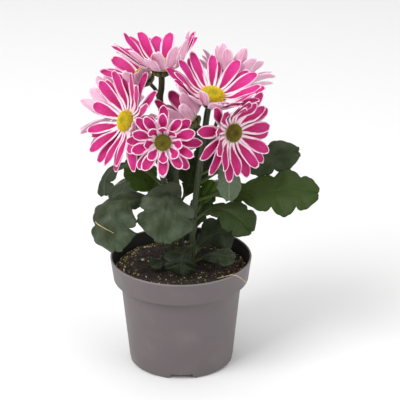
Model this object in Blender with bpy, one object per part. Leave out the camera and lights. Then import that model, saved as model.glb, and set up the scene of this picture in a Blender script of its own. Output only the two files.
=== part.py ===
"""Pot chrysanthemum: a 12 cm nursery pot of peat with leafy stems and nine daisy blooms.

Metres, +Z up. The origin is the centre of the pot's flat underside, and the
front of the plant is at -Y. Each leaf, each bloom's petals and each bloom's
disc is a solid of its own. Petals are laid one by one, and a petal that would
cross a neighbour is lifted or lowered until it is clear.
"""

import math
import random
from typing import NamedTuple

import bmesh
import bpy
from mathutils import Matrix, Vector
from mathutils.bvhtree import BVHTree
from mathutils.noise import noise

GAP = 0.0003
MERGE = 0.000002
CUT_MARGIN = 0.001
TANGENT_STEP = 0.01

POT_SIDES = 32
POT_HEIGHT = 0.096
RIM_RADIUS = 0.060
WALL = 0.0012
LIP_DEPTH = 0.0016
LIP_BULGE = 0.0004
BAND_HEIGHT = 0.020
BAND_FOOT_RADIUS = 0.0575
BODY_TOP_RADIUS = 0.0515
BODY_FOOT_RADIUS = 0.0445
BASE_CORNER = 0.003
CORNER_STEPS = 3
FLOOR_BEVEL = 0.002
FLOOR_BEVEL_HEIGHT = 0.004
SHARP_ANGLE = math.radians(30)

POCKETS = 4
POCKET_WIDTH = 0.025
POCKET_TOP_WIDTH = 0.0185
POCKET_HEIGHT = 0.0045
POCKET_INNER_RADIUS = 0.033
POCKET_OUTER_RADIUS = 0.052
POCKET_SPANS = 4

SOIL_LEVEL = 0.084
SOIL_CROWN = 0.0030
SOIL_CRUMB = 0.0012
SOIL_GRAIN = 180.0
SOIL_RINGS = 5
HOLE_MARGIN = 0.0004
HOLE_HEIGHT = 0.1
HOLE_SIDES = 16

STEM_RADIUS = 0.0025
PEDUNCLE_RADIUS = 0.0015
STEM_SIDES = 6
PEDUNCLE_SIDES = 5
STALK_SPAN = 0.012
FEWEST_SPANS = 3

CALYX_SIDES = 8
CALYX_DEPTH = 0.006
CALYX_OUTLINE = ((0.0, 0.0), (0.72, 0.0), (0.86, 0.0012), (0.70, 0.0036))
CALYX_FOOT = 1.5
CALYX_CAP = 0.0006
NECK_HEIGHTS = (-0.019, -0.0085)
CORE_SIDES = 10
CORE_LOW = -0.0042
CORE_TOP = 0.0008
CORE_SHARE = 0.80
CORE_TAPER = 0.92
DISC_SIDES = 10
DISC_RINGS = 4
DISC_CROWN = 0.0034
DISC_FOOT = 0.94
DISC_EDGE = 0.0004
DISC_DIMPLE = 0.0003
DISC_SEED = 500
GREENER_DISCS = ("front", "right", "middle", "low_back")

PETAL_THICKNESS = 0.0009
PETAL_STATIONS = ((0.0, 0.22, 0.5, 0.82, 1.0), (0.0, 0.3, 0.78, 1.0))
PETAL_ROOT = 0.55
PETAL_WIDEST = 0.62
PETAL_NECK = 0.30
PETAL_END = 1.04
RISE_START = 0.08
RISE_SPAN = 0.34
CHANNEL_RISE = 2.5
RING_DROP = 0.0016
RING_FILL = 0.90
CURVE_STEPS = 24
ANGLE_SPREAD = 0.11
LENGTH_RANGE = (0.93, 1.03)
WIDTH_RANGE = (0.88, 1.10)
CUP_SPREAD = 5.0
CURL_RANGE = (2.0, 14.0)
TWIST_SPREAD = 8.0
CHANNEL_RANGE = (0.08, 0.14)
CLEARANCE = 0.0005
LIFTS = (0, 7, -7, 14, -14, 21, -21, 28, 36, 44)
SHORTER = (1.0, 0.84, 0.68)

LEAF_THICKNESS = 0.0009
PETIOLE_RADIUS = 0.0012
LEAF_SPANS = 15
SMALL_LEAF_SPANS = 12
PETIOLE_SHARE = 0.16
BLADE_OPENING = 8.0
LEAF_SHAPE = (0.86, 0.07, 1.45)
LOBE_CUT = 0.32
LOBE_ROUNDING = 0.6
LOBE_SHIFT = 0.12
LOBE_SWEEP = 0.15
TIP_SWEEP = (0.9, 0.001)
LEAF_WAVE = 0.06
LEAF_WAVE_TURNS = 14.0
ARCH_POWER = 1.6
ROOT_STEPS = 240


class Bloom(NamedTuple):
    """One flower head: where it is, where it looks, and how its petals lie."""

    name: str
    centre: tuple
    facing: tuple
    radius: float
    disc: float
    width: float
    rings: tuple
    lean: float
    lean_to: tuple
    seed: int


class Route(NamedTuple):
    """One stem or flower stalk: the bloom it carries, its thickness and the points it passes below it."""

    bloom: str
    radius: float
    sides: int
    points: tuple


class Leaf(NamedTuple):
    """One leaf: the stem and height it grows at, its midrib out to the tip, half its width, the way it faces."""

    name: str
    stem: str
    height: float
    midrib: tuple
    half_width: float
    face: tuple
    arch: float
    lobes: int
    columns: int
    seed: int


BLOOMS = (
    Bloom("front", (-0.0140, -0.048, 0.217), (-0.02, -0.99, 0.13), 0.0315, 0.0072, 0.0098,
          ((8, 0.62, 52.0), (10, 0.92, 30.0), (8, 1.0, 8.0)), 4.0, (0, 0, 1), 3),
    Bloom("left", (-0.0440, -0.008, 0.220), (-0.73, -0.52, 0.44), 0.0455, 0.0094, 0.0108,
          ((12, 0.96, 26.0), (11, 1.0, 8.0)), 9.0, (0.4, 0, 1), 11),
    Bloom("upper_right", (0.0260, -0.018, 0.245), (0.22, -0.33, 0.92), 0.0460, 0.0104, 0.0108,
          ((12, 0.96, 42.0), (10, 1.0, 32.0)), 20.0, (-0.1, -1, 0), 5),
    Bloom("right", (0.0420, -0.038, 0.221), (0.57, -0.81, 0.12), 0.0435, 0.0080, 0.0108,
          ((11, 0.84, 36.0), (12, 1.0, 14.0)), 15.0, (-1, -0.5, 0.3), 7),
    Bloom("top", (-0.0150, 0.005, 0.264), (0.02, 0.04, 1.00), 0.0490, 0.0090, 0.0112,
          ((10, 0.96, 45.0), (9, 1.0, 31.0)), 4.0, (0, -1, 0), 9),
    Bloom("middle", (0.0070, -0.016, 0.2265), (-0.68, 0.13, 0.72), 0.0430, 0.0080, 0.0104,
          ((9, 0.95, 56.0), (9, 1.0, 42.0)), 0.0, (0, 0, 1), 13),
    Bloom("back_left", (-0.0310, 0.024, 0.249), (-0.58, -0.12, 0.80), 0.0410, 0.0085, 0.0106,
          ((9, 0.95, 50.0), (9, 1.0, 36.0)), 0.0, (0, 0, 1), 17),
    Bloom("back_right", (0.0420, 0.027, 0.245), (0.30, 0.62, 0.72), 0.0380, 0.0085, 0.0106,
          ((9, 0.95, 44.0), (9, 1.0, 30.0)), 0.0, (0, 0, 1), 19),
    Bloom("low_back", (-0.0520, 0.036, 0.213), (-0.66, 0.66, 0.35), 0.0400, 0.0085, 0.0106,
          ((9, 0.95, 34.0), (9, 1.0, 18.0)), 0.0, (0, 0, 1), 23),
)

STALKS = {
    "stem_left": (
        Route("left", STEM_RADIUS, STEM_SIDES, (
            (-0.009, -0.004, 0.058), (-0.009, -0.004, 0.090), (-0.010, -0.003, 0.130),
            (-0.015, 0.001, 0.168), (-0.023, 0.005, 0.193))),
        Route("low_back", PEDUNCLE_RADIUS, PEDUNCLE_SIDES, (
            (-0.015, 0.001, 0.168), (-0.021, 0.010, 0.184), (-0.030, 0.018, 0.197))),
    ),
    "stem_centre": (
        Route("top", STEM_RADIUS, STEM_SIDES, (
            (0.000, 0.005, 0.058), (0.000, 0.005, 0.090), (-0.001, 0.007, 0.130),
            (-0.005, 0.007, 0.170), (-0.012, 0.006, 0.205), (-0.0165, 0.005, 0.232))),
        Route("front", PEDUNCLE_RADIUS, PEDUNCLE_SIDES, (
            (-0.005, 0.007, 0.170), (-0.007, -0.006, 0.190), (-0.011, -0.020, 0.206))),
        Route("back_left", PEDUNCLE_RADIUS, PEDUNCLE_SIDES, (
            (-0.0155, 0.005, 0.222), (-0.017, 0.015, 0.225))),
    ),
    "stem_right": (
        Route("upper_right", STEM_RADIUS, STEM_SIDES, (
            (0.009, -0.003, 0.058), (0.009, -0.003, 0.090), (0.0105, -0.004, 0.130),
            (0.015, -0.005, 0.172), (0.019, -0.006, 0.202))),
        Route("right", PEDUNCLE_RADIUS, PEDUNCLE_SIDES, (
            (0.016, -0.005, 0.180), (0.022, -0.010, 0.196), (0.028, -0.018, 0.208))),
        Route("back_right", PEDUNCLE_RADIUS, PEDUNCLE_SIDES, (
            (0.017, -0.005, 0.188), (0.027, 0.003, 0.206))),
        Route("middle", PEDUNCLE_RADIUS, PEDUNCLE_SIDES, (
            (0.016, -0.005, 0.182), (0.018, -0.012, 0.200))),
    ),
}

LEAVES = (
    Leaf("leaf_front_left", "stem_left", 0.142, ((-0.029, -0.014, 0.154), (-0.047, -0.026, 0.156),
         (-0.057, -0.037, 0.141), (-0.054, -0.042, 0.119)), 0.024, (-0.35, -0.55, 0.75), 0.22, 3, 4, 1),
    Leaf("leaf_front", "stem_left", 0.128, ((-0.0065, -0.018, 0.152), (-0.008, -0.030, 0.163),
         (-0.0115, -0.045, 0.153), (-0.0145, -0.051, 0.131)), 0.0265, (0.02, -0.75, 0.65), 0.22, 3, 4, 2),
    Leaf("leaf_front_right", "stem_right", 0.130, ((0.022, -0.017, 0.143), (0.035, -0.027, 0.149),
         (0.048, -0.034, 0.144), (0.058, -0.038, 0.134)), 0.0168, (0.1, -0.6, 0.8), 0.12, 3, 4, 3),
    Leaf("leaf_right", "stem_right", 0.148, ((0.034, -0.009, 0.156), (0.062, -0.013, 0.159),
         (0.088, -0.018, 0.162), (0.113, -0.022, 0.161)), 0.0225, (-0.1, -0.62, 0.78), 0.15, 4, 4, 4),
    Leaf("leaf_back_right", "stem_right", 0.163, ((0.042, 0.006, 0.175), (0.070, 0.011, 0.179),
         (0.099, 0.014, 0.184)), 0.0163, (-0.1, -0.75, 0.62), 0.10, 3, 2, 5),
    Leaf("leaf_hanging", "stem_right", 0.172, ((0.031, -0.019, 0.183), (0.039, -0.026, 0.175),
         (0.040, -0.028, 0.158)), 0.011, (0.25, 0.75, -0.60), 0.20, 2, 2, 6),
    Leaf("leaf_curled", "stem_left", 0.162, ((-0.036, 0.001, 0.177), (-0.053, -0.003, 0.179),
         (-0.063, -0.008, 0.169), (-0.064, -0.009, 0.155)), 0.012, (-0.5, 0.6, 0.6), 0.35, 3, 2, 7),
    Leaf("leaf_bright_left", "stem_left", 0.134, ((-0.020, 0.008, 0.148), (-0.031, 0.012, 0.163),
         (-0.043, 0.015, 0.178)), 0.016, (0.45, -0.75, 0.45), 0.10, 3, 2, 8),
    Leaf("leaf_bright_right", "stem_right", 0.137, ((0.020, -0.003, 0.150), (0.0275, -0.003, 0.164)),
         0.0085, (-0.3, -0.9, 0.3), 0.10, 2, 2, 9),
    Leaf("leaf_behind", "stem_right", 0.156, ((0.020, 0.010, 0.172), (0.034, 0.018, 0.198)),
         0.015, (-0.25, -0.9, 0.3), 0.12, 3, 2, 10),
    Leaf("leaf_inner", "stem_centre", 0.166, ((0.001, 0.020, 0.184), (0.003, 0.027, 0.206)),
         0.017, (0.0, -0.95, 0.3), 0.12, 3, 2, 18),
    Leaf("leaf_inner_low", "stem_centre", 0.140, ((0.008, 0.019, 0.153), (0.011, 0.027, 0.174)),
         0.016, (-0.1, -0.9, 0.4), 0.12, 3, 2, 19),
    Leaf("leaf_inner_left", "stem_centre", 0.146, ((-0.007, 0.019, 0.160), (-0.008, 0.026, 0.184)),
         0.011, (0.1, -0.95, 0.3), 0.12, 3, 2, 20),
    Leaf("leaf_inner_right", "stem_right", 0.116, ((0.016, 0.005, 0.131), (0.022, 0.008, 0.154)),
         0.012, (-0.2, -0.9, 0.4), 0.12, 3, 2, 21),
    Leaf("leaf_low_right", "stem_right", 0.094, ((0.017, 0.009, 0.101), (0.030, 0.014, 0.109),
         (0.044, 0.017, 0.110)), 0.019, (-0.1, -0.7, 0.7), 0.15, 3, 2, 11),
    Leaf("leaf_soil_right", "stem_right", 0.0905, ((0.021, -0.007, 0.0965), (0.033, -0.010, 0.099),
         (0.045, -0.013, 0.0975)), 0.011, (0.0, -0.45, 0.9), 0.10, 2, 2, 12),
    Leaf("leaf_low_front", "stem_right", 0.107, ((0.005, -0.018, 0.109), (0.001, -0.026, 0.104),
         (-0.001, -0.030, 0.0925)), 0.017, (0.1, -0.8, 0.6), 0.15, 3, 2, 13),
    Leaf("leaf_soil_left", "stem_left", 0.0915, ((-0.016, -0.012, 0.0955), (-0.025, -0.018, 0.0945)),
         0.007, (0.0, -0.4, 0.9), 0.10, 2, 2, 14),
    Leaf("leaf_rear_left", "stem_centre", 0.132, ((-0.018, 0.024, 0.147), (-0.034, 0.040, 0.151),
         (-0.047, 0.054, 0.142), (-0.053, 0.061, 0.124)), 0.024, (-0.4, 0.5, 0.8), 0.22, 3, 4, 15),
    Leaf("leaf_rear_right", "stem_centre", 0.124, ((0.018, 0.024, 0.141), (0.034, 0.041, 0.146),
         (0.047, 0.055, 0.138), (0.054, 0.063, 0.120)), 0.024, (0.4, 0.5, 0.8), 0.22, 3, 4, 16),
    Leaf("leaf_rear_low", "stem_centre", 0.103, ((0.002, 0.023, 0.113), (0.003, 0.038, 0.115),
         (0.004, 0.052, 0.108)), 0.018, (0.0, 0.5, 0.85), 0.18, 3, 2, 17),
)

FINISHES = {
    "pot_plastic": ((0.19, 0.16, 0.165), 0.5),
    "peat": ((0.03, 0.02, 0.018), 0.95),
    "stem_green": ((0.09, 0.13, 0.05), 0.6),
    "leaf_green": ((0.035, 0.06, 0.025), 0.5),
    "petal_pink": ((0.62, 0.05, 0.22), 0.5),
    "disc_yellow": ((0.55, 0.45, 0.02), 0.7),
    "disc_olive": ((0.15, 0.15, 0.01), 0.7),
}


def clear_scene():
    """Remove every object that the file opened with."""
    for obj in list(bpy.data.objects):
        bpy.data.objects.remove(obj, do_unlink=True)


def material(name, colour, roughness):
    """A plain finish with the part's colour and roughness."""
    finish = bpy.data.materials.new(name)
    finish.use_nodes = True
    shader = finish.node_tree.nodes["Principled BSDF"]
    shader.inputs["Base Color"].default_value = (*colour, 1.0)
    shader.inputs["Roughness"].default_value = roughness
    shader.inputs["Metallic"].default_value = 0.0
    finish.diffuse_color = (*colour, 1.0)
    return finish


def put(name, bm, finish):
    """Close a bmesh as a named object with outward faces."""
    bmesh.ops.recalc_face_normals(bm, faces=bm.faces)
    mesh = bpy.data.meshes.new(name)
    bm.to_mesh(mesh)
    bm.free()
    if finish:
        mesh.materials.append(finish)
    obj = bpy.data.objects.new(name, mesh)
    bpy.context.scene.collection.objects.link(obj)
    return obj


def smooth_step(value):
    """0 to 1 with flat ends."""
    value = min(max(value, 0.0), 1.0)
    return value * value * (3.0 - 2.0 * value)


def split_alike(bm, cells):
    """Cut each four-sided face from its inner near corner to its outer far one, on both skins alike."""
    for face in list(bm.faces):
        if len(face.verts) != 4:
            continue
        keys = sorted(face.verts, key=lambda v: (cells[v][0] + cells[v][1]))
        near, far = keys[0], keys[-1]
        if not any(near in edge.verts and far in edge.verts for edge in face.edges):
            bmesh.utils.face_split(face, near, far)


def skin(bm, sides, spans, place, rank):
    """Wrap a grid round into a capped skin; place maps column and share, rank orders columns."""
    verts = bmesh.ops.create_grid(bm, x_segments=sides, y_segments=spans, size=0.5)["verts"]
    cells = {}
    rows = {}
    for vert in verts:
        column = round((vert.co.x + 0.5) * sides) % sides
        row = round((vert.co.y + 0.5) * spans)
        cells[vert] = (rank(column), row)
        rows.setdefault(row, []).append(vert)
        vert.co = place(column, row)
    split_alike(bm, cells)
    bmesh.ops.remove_doubles(bm, verts=verts, dist=1e-6)
    ends = [edge for edge in bm.edges if edge.is_boundary]
    bmesh.ops.holes_fill(bm, edges=ends, sides=sides)
    bmesh.ops.triangulate(bm, faces=[f for f in bm.faces if len(f.verts) > 3])


def turned(bm, profile, sides):
    """Spin an outline of (radius, height) points about Z; the ends on the axis close it."""
    points = [bm.verts.new((radius, 0.0, height)) for radius, height in profile]
    edges = [bm.edges.new(pair) for pair in zip(points, points[1:])]
    bmesh.ops.spin(bm, geom=points + edges, cent=(0, 0, 0), axis=(0, 0, 1), angle=2 * math.pi,
                   steps=sides, use_merge=True, use_duplicate=False)
    bmesh.ops.remove_doubles(bm, verts=bm.verts, dist=1e-6)


def spline(points, share):
    """Point of a smooth curve through the points, at a share of its length in points."""
    points = [Vector(p) for p in points]
    last = len(points) - 1
    place = share * last
    index = min(int(place), last - 1)
    t = place - index
    p1, p2 = points[index], points[index + 1]
    p0 = points[index - 1] if index > 0 else p1 * 2 - p2
    p3 = points[index + 2] if index + 2 <= last else p2 * 2 - p1
    return 0.5 * ((2 * p1) + (p2 - p0) * t + (2 * p0 - 5 * p1 + 4 * p2 - p3) * t * t
                  + (3 * p1 - p0 - 3 * p2 + p3) * t * t * t)


def tree_of(*objects, bm=None):
    """Search tree of the objects' skins, or of one bmesh."""
    if bm is not None:
        return BVHTree.FromBMesh(bm)
    verts, faces = [], []
    for obj in objects:
        offset = len(verts)
        verts += [obj.matrix_world @ v.co for v in obj.data.vertices]
        faces += [[offset + i for i in poly.vertices] for poly in obj.data.polygons]
    return BVHTree.FromPolygons(verts, faces)


def united(target, group, solver):
    """Mesh of one object joined with all of a collection's."""
    union = target.modifiers.new("union", "BOOLEAN")
    union.operation = "UNION"
    union.operand_type = "COLLECTION"
    union.collection = group
    union.solver = solver
    bpy.context.view_layer.update()
    depsgraph = bpy.context.evaluated_depsgraph_get()
    bm = bmesh.new()
    bm.from_mesh(target.evaluated_get(depsgraph).data)
    target.modifiers.remove(union)
    bmesh.ops.dissolve_degenerate(bm, edges=bm.edges, dist=MERGE)
    bmesh.ops.remove_doubles(bm, verts=bm.verts, dist=MERGE)
    bmesh.ops.triangulate(bm, faces=bm.faces)
    return bm


def fuse(name, parts, finish):
    """Join solids that sink into each other into one closed solid, and drop the pieces."""
    target, *others = parts
    group = bpy.data.collections.new(name + "_pieces")
    bpy.context.scene.collection.children.link(group)
    for obj in others:
        bpy.context.scene.collection.objects.unlink(obj)
        group.objects.link(obj)
    bm = united(target, group, "EXACT")
    if not all(edge.is_manifold for edge in bm.edges):
        print(name, "joined by the second solver")
        bm.free()
        bm = united(target, group, "MANIFOLD")
    for obj in parts:
        bpy.data.objects.remove(obj, do_unlink=True)
    bpy.data.collections.remove(group)
    return put(name, bm, finish)


def pot_outside():
    """Outer outline of the pot, from the middle of its base to the lip."""
    corner = BASE_CORNER
    foot = BODY_FOOT_RADIUS
    band_foot = POT_HEIGHT - BAND_HEIGHT
    rounding = [(foot - corner + corner * math.sin(a), corner - corner * math.cos(a))
                for a in (step * math.pi / 2 / CORNER_STEPS for step in range(CORNER_STEPS + 1))]
    return [(0.0, 0.0), *rounding, (BODY_TOP_RADIUS, band_foot + LIP_BULGE), (BAND_FOOT_RADIUS, band_foot),
            (RIM_RADIUS - LIP_BULGE, POT_HEIGHT - LIP_DEPTH), (RIM_RADIUS, POT_HEIGHT - LIP_DEPTH / 2),
            (RIM_RADIUS - LIP_BULGE, POT_HEIGHT)]


def pot_inside(inset=0.0):
    """Inner outline of the pot from the lip down to the floor, moved inwards by inset."""
    step = POT_HEIGHT - BAND_HEIGHT + WALL
    floor = WALL + inset
    foot = BODY_FOOT_RADIUS - WALL - inset
    return [(RIM_RADIUS - WALL - LIP_BULGE - inset, POT_HEIGHT), (BAND_FOOT_RADIUS - WALL - inset, step + inset),
            (BODY_TOP_RADIUS - WALL - inset, step + inset), (foot, FLOOR_BEVEL_HEIGHT),
            (foot - FLOOR_BEVEL, floor), (0.0, floor)]


def pocket_blocks(name, low_half, top_half, low, top, inner, outer):
    """Ring sectors round the base edge, narrower at their top, from an inner radius to an outer one."""
    blocks = bmesh.new()
    for index in range(POCKETS):
        middle = index * 2 * math.pi / POCKETS - math.pi / 2
        made = bmesh.ops.create_grid(blocks, x_segments=POCKET_SPANS, y_segments=1, size=1.0)["verts"]
        sheet = [face for face in blocks.faces if face.verts[0] in made]
        raised = bmesh.ops.extrude_face_region(blocks, geom=sheet, use_keep_orig=True)["geom"]
        roof = [item for item in raised if isinstance(item, bmesh.types.BMVert)]
        for verts, half, height in ((made, low_half, low), (roof, top_half, top)):
            for vert in verts:
                angle = middle + vert.co.x * half / BODY_FOOT_RADIUS
                radius = inner if vert.co.y < 0 else outer
                vert.co = (radius * math.cos(angle), radius * math.sin(angle), height)
    return put(name, blocks, None)


def cut_out(target, cutter, name):
    """Cut one object's shape out of another."""
    cutter.hide_render = True
    cutter.display_type = "WIRE"
    cut = target.modifiers.new(name, "BOOLEAN")
    cut.operation = "DIFFERENCE"
    cut.object = cutter
    cut.solver = "EXACT"


def make_pot(finish):
    """The thin nursery pot: tapered body, wider rim band and drain notches at the base edge."""
    bm = bmesh.new()
    turned(bm, pot_outside() + pot_inside(), POT_SIDES)
    shell = put("pot_shell", bm, None)
    roof_width = POCKET_WIDTH / 2 + WALL
    wall_inside = BODY_FOOT_RADIUS - WALL / 2
    roofs = pocket_blocks("pocket_roofs", roof_width, POCKET_TOP_WIDTH / 2 + WALL, WALL / 2,
                          POCKET_HEIGHT + WALL, POCKET_INNER_RADIUS - WALL, wall_inside)
    pot = fuse("pot", [shell, roofs], finish)
    pot.data.shade_smooth()
    pot.data.set_sharp_from_angle(angle=SHARP_ANGLE)
    pockets = pocket_blocks("pocket_cutter", POCKET_WIDTH / 2, POCKET_TOP_WIDTH / 2, -CUT_MARGIN,
                            POCKET_HEIGHT, POCKET_INNER_RADIUS, POCKET_OUTER_RADIUS)
    cut_out(pot, pockets, "drain_pockets")
    return pot


def make_soil(finish):
    """Peat that fills the pot, with a mounded crumbly top and a plain hole for each stem."""
    side = [p for p in pot_inside(GAP) if p[1] < SOIL_LEVEL]
    edge = BAND_FOOT_RADIUS - WALL - GAP
    top = [(edge * index / SOIL_RINGS, SOIL_LEVEL + SOIL_CROWN * math.cos(index / SOIL_RINGS * math.pi / 2))
           for index in range(SOIL_RINGS + 1)]
    bm = bmesh.new()
    turned(bm, top + side, POT_SIDES)
    for vert in bm.verts:
        reach = math.hypot(vert.co.x, vert.co.y)
        if vert.co.z > SOIL_LEVEL - GAP and reach < edge - CUT_MARGIN:
            vert.co.z += SOIL_CRUMB * noise(vert.co * SOIL_GRAIN)
    soil = put("soil", bm, finish)
    holes = bmesh.new()
    for routes in STALKS.values():
        foot = Vector(routes[0].points[0])
        middle = Matrix.Translation((foot.x, foot.y, foot.z - GAP + HOLE_HEIGHT / 2))
        bmesh.ops.create_cone(holes, cap_ends=True, segments=HOLE_SIDES, radius1=STEM_RADIUS + HOLE_MARGIN,
                              radius2=STEM_RADIUS + HOLE_MARGIN, depth=HOLE_HEIGHT, matrix=middle)
    cut_out(soil, put("hole_cutter", holes, None), "stem_holes")
    roof_width = POCKET_WIDTH / 2 + WALL + 2 * GAP
    hollows = pocket_blocks("soil_pocket_cutter", roof_width, POCKET_TOP_WIDTH / 2 + WALL + 2 * GAP, WALL / 2,
                            POCKET_HEIGHT + WALL + GAP, POCKET_INNER_RADIUS - WALL - GAP, POCKET_OUTER_RADIUS)
    cut_out(soil, hollows, "pocket_hollows")
    return soil


def bloom_frame(bloom):
    """Matrix that takes a bloom's own frame, +Z out of its disc, to its place."""
    turn = Vector(bloom.facing).to_track_quat("Z", "Y").to_matrix().to_4x4()
    return Matrix.Translation(bloom.centre) @ turn


def stalk_points(route):
    """The points of a stem or stalk, with the two that lead it straight into its bloom's calyx."""
    bloom = next(bloom for bloom in BLOOMS if bloom.name == route.bloom)
    frame = bloom_frame(bloom)
    return [Vector(p) for p in route.points] + [frame @ Vector((0, 0, height)) for height in NECK_HEIGHTS]


def direction(points, share):
    """Unit vector along a smooth curve at a share of it."""
    ahead = spline(points, min(share + TANGENT_STEP, 1.0))
    behind = spline(points, max(share - TANGENT_STEP, 0.0))
    return (ahead - behind).normalized()


def make_stalk(name, route):
    """A round stem through its points and straight into its bloom's calyx, as a capped skin."""
    points = stalk_points(route)
    length = sum((a - b).length for a, b in zip(points, points[1:]))
    spans = max(FEWEST_SPANS, round(length / STALK_SPAN))
    side = Vector((1, 0, 0))

    def place(column, row):
        share = row / spans
        here = spline(points, share)
        along = direction(points, share)
        across = (side - along * side.dot(along)).normalized()
        other = along.cross(across)
        angle = 2 * math.pi * column / route.sides
        return here + route.radius * (across * math.cos(angle) + other * math.sin(angle))

    bm = bmesh.new()
    skin(bm, route.sides, spans, place, lambda column: column)
    return put(name, bm, None)


def make_calyx(bloom):
    """Green cup of bracts under a bloom, tapering into its stalk."""
    reach = bloom.disc
    low = CORE_LOW - GAP
    profile = [(reach * share, low - depth) for share, depth in CALYX_OUTLINE]
    profile += [(PEDUNCLE_RADIUS * CALYX_FOOT, low - CALYX_DEPTH), (0.0, low - CALYX_DEPTH - CALYX_CAP)]
    bm = bmesh.new()
    turned(bm, profile, CALYX_SIDES)
    bmesh.ops.transform(bm, matrix=bloom_frame(bloom), verts=bm.verts)
    return put(bloom.name + "_calyx", bm, None)


def make_stems(finish):
    """The leafless stems with their flower stalks and calyces, one solid a stem."""
    heads = {bloom.name: bloom for bloom in BLOOMS}
    made = []
    for name, routes in STALKS.items():
        parts = [make_stalk(name + "_stalk", route) for route in routes]
        parts += [make_calyx(heads[route.bloom]) for route in routes]
        made.append(fuse(name, parts, finish))
    return made


def make_disc(bloom, finish):
    """The dome of tiny florets at a bloom's centre, as knobbly relief."""
    low = CORE_TOP + GAP
    dome = [(bloom.disc * math.cos(a), low + DISC_EDGE + DISC_CROWN * math.sin(a))
            for a in (index * math.pi / 2 / DISC_RINGS for index in range(DISC_RINGS))]
    crown = (0.0, low + DISC_EDGE + DISC_CROWN)
    bm = bmesh.new()
    turned(bm, [(0.0, low), (bloom.disc * DISC_FOOT, low), *dome, crown], DISC_SIDES)
    draw = random.Random(bloom.seed + DISC_SEED)
    for vert in bm.verts:
        if vert.co.z > low + 1.5 * DISC_EDGE:
            vert.co.z += draw.uniform(-DISC_DIMPLE, DISC_DIMPLE)
    bmesh.ops.triangulate(bm, faces=bm.faces)
    bmesh.ops.transform(bm, matrix=bloom_frame(bloom), verts=bm.verts)
    return put("bloom_" + bloom.name + "_disc", bm, finish)


class Petal(NamedTuple):
    """One petal in its bloom's own frame."""

    angle: float
    root_height: float
    length: float
    width: float
    cup: float
    curl: float
    twist: float
    channel: float
    ring: int
    ring_count: int


def petals_of(bloom):
    """The petals of a bloom, ring by ring, each lower ring shifted to show between the petals above."""
    draw = random.Random(bloom.seed)
    towards = bloom_frame(bloom).to_3x3().inverted() @ Vector(bloom.lean_to)
    lean_angle = math.atan2(towards.y, towards.x)
    result = []
    for ring, (count, length, cup) in enumerate(bloom.rings):
        for index in range(count):
            shift = draw.uniform(-ANGLE_SPREAD, ANGLE_SPREAD)
            angle = 2 * math.pi * (index + 0.5 * ring + shift) / count
            result.append(Petal(
                angle, -RING_DROP * ring, bloom.radius * length * draw.uniform(*LENGTH_RANGE),
                bloom.width * draw.uniform(*WIDTH_RANGE),
                cup + bloom.lean * math.cos(angle - lean_angle) + draw.uniform(-CUP_SPREAD, CUP_SPREAD),
                draw.uniform(*CURL_RANGE), draw.uniform(-TWIST_SPREAD, TWIST_SPREAD),
                draw.uniform(*CHANNEL_RANGE), ring, count))
    return result


def petal_line(bloom, petal, lift):
    """Centre line of a petal: out from the core, then up to its cup angle, then a slight turn back."""
    start = bloom.disc * PETAL_ROOT
    reach = petal.length - start
    radius, height = start, petal.root_height
    line = []
    for step in range(CURVE_STEPS + 1):
        share = step / CURVE_STEPS
        rise = petal.cup + lift
        bend = rise * smooth_step((share - RISE_START) / RISE_SPAN) - petal.curl * share * share
        slope = math.radians(bend)
        line.append((radius, height, slope))
        radius += reach / CURVE_STEPS * math.cos(slope)
        height += reach / CURVE_STEPS * math.sin(slope)
    return line


def petal_width(share):
    """Width of a petal along its length as a share of its widest."""
    if share < PETAL_WIDEST:
        return PETAL_NECK + (1.0 - PETAL_NECK) * math.sin(math.pi / 2 * share / PETAL_WIDEST)
    return math.sqrt(1.0 - ((share - PETAL_WIDEST) / (PETAL_END - PETAL_WIDEST)) ** 2)


def petal_mesh(bloom, petal, lift, grow=0.0):
    """A thin channelled blade with four sides, in world space; grow fattens it for the clearance test."""
    line = petal_line(bloom, petal, lift)
    frame = bloom_frame(bloom) @ Matrix.Rotation(petal.angle, 4, "Z")
    half = PETAL_THICKNESS / 2 + grow
    stations = PETAL_STATIONS[min(petal.ring, 1)]

    def place(column, row):
        share = stations[row]
        radius, height, slope = line[round(share * CURVE_STEPS)]
        twist = math.radians(petal.twist) * smooth_step(share)
        room = RING_FILL * 2 * math.pi * radius / petal.ring_count
        width = min(petal.width * petal_width(share), room) / 2 + grow
        edge_rise = petal.channel * width * 2 * smooth_step(share * CHANNEL_RISE)
        side, up = ((-1, 0), (0, 1), (1, 0), (0, -1))[column]
        across = side * width
        above = up * half + (edge_rise if side else 0.0)
        y = across * math.cos(twist) - above * math.sin(twist)
        n = across * math.sin(twist) + above * math.cos(twist)
        return frame @ Vector((radius - n * math.sin(slope), y, height + n * math.cos(slope)))

    bm = bmesh.new()
    skin(bm, 4, len(stations) - 1, place, lambda column: (1, 0, 1, 0)[column])
    return bm


def lay_petal(bloom, petal, obstacles):
    """The petal with the smallest lift, or the least shortening, that keeps it clear of the rest."""
    for share in SHORTER:
        trial = petal._replace(length=petal.length * share)
        for lift in LIFTS:
            fat = petal_mesh(bloom, trial, lift, CLEARANCE)
            tree = tree_of(bm=fat)
            fat.free()
            if not any(tree.overlap(other) for other in obstacles):
                return petal_mesh(bloom, trial, lift)
    return None


def make_core(bloom):
    """The receptacle that the petals grow from."""
    bm = bmesh.new()
    reach = bloom.disc * CORE_SHARE
    turned(bm, [(0.0, CORE_TOP), (reach, CORE_TOP), (reach * CORE_TAPER, CORE_LOW), (0.0, CORE_LOW)], CORE_SIDES)
    bmesh.ops.transform(bm, matrix=bloom_frame(bloom), verts=bm.verts)
    return put(bloom.name + "_core", bm, None)


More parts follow.
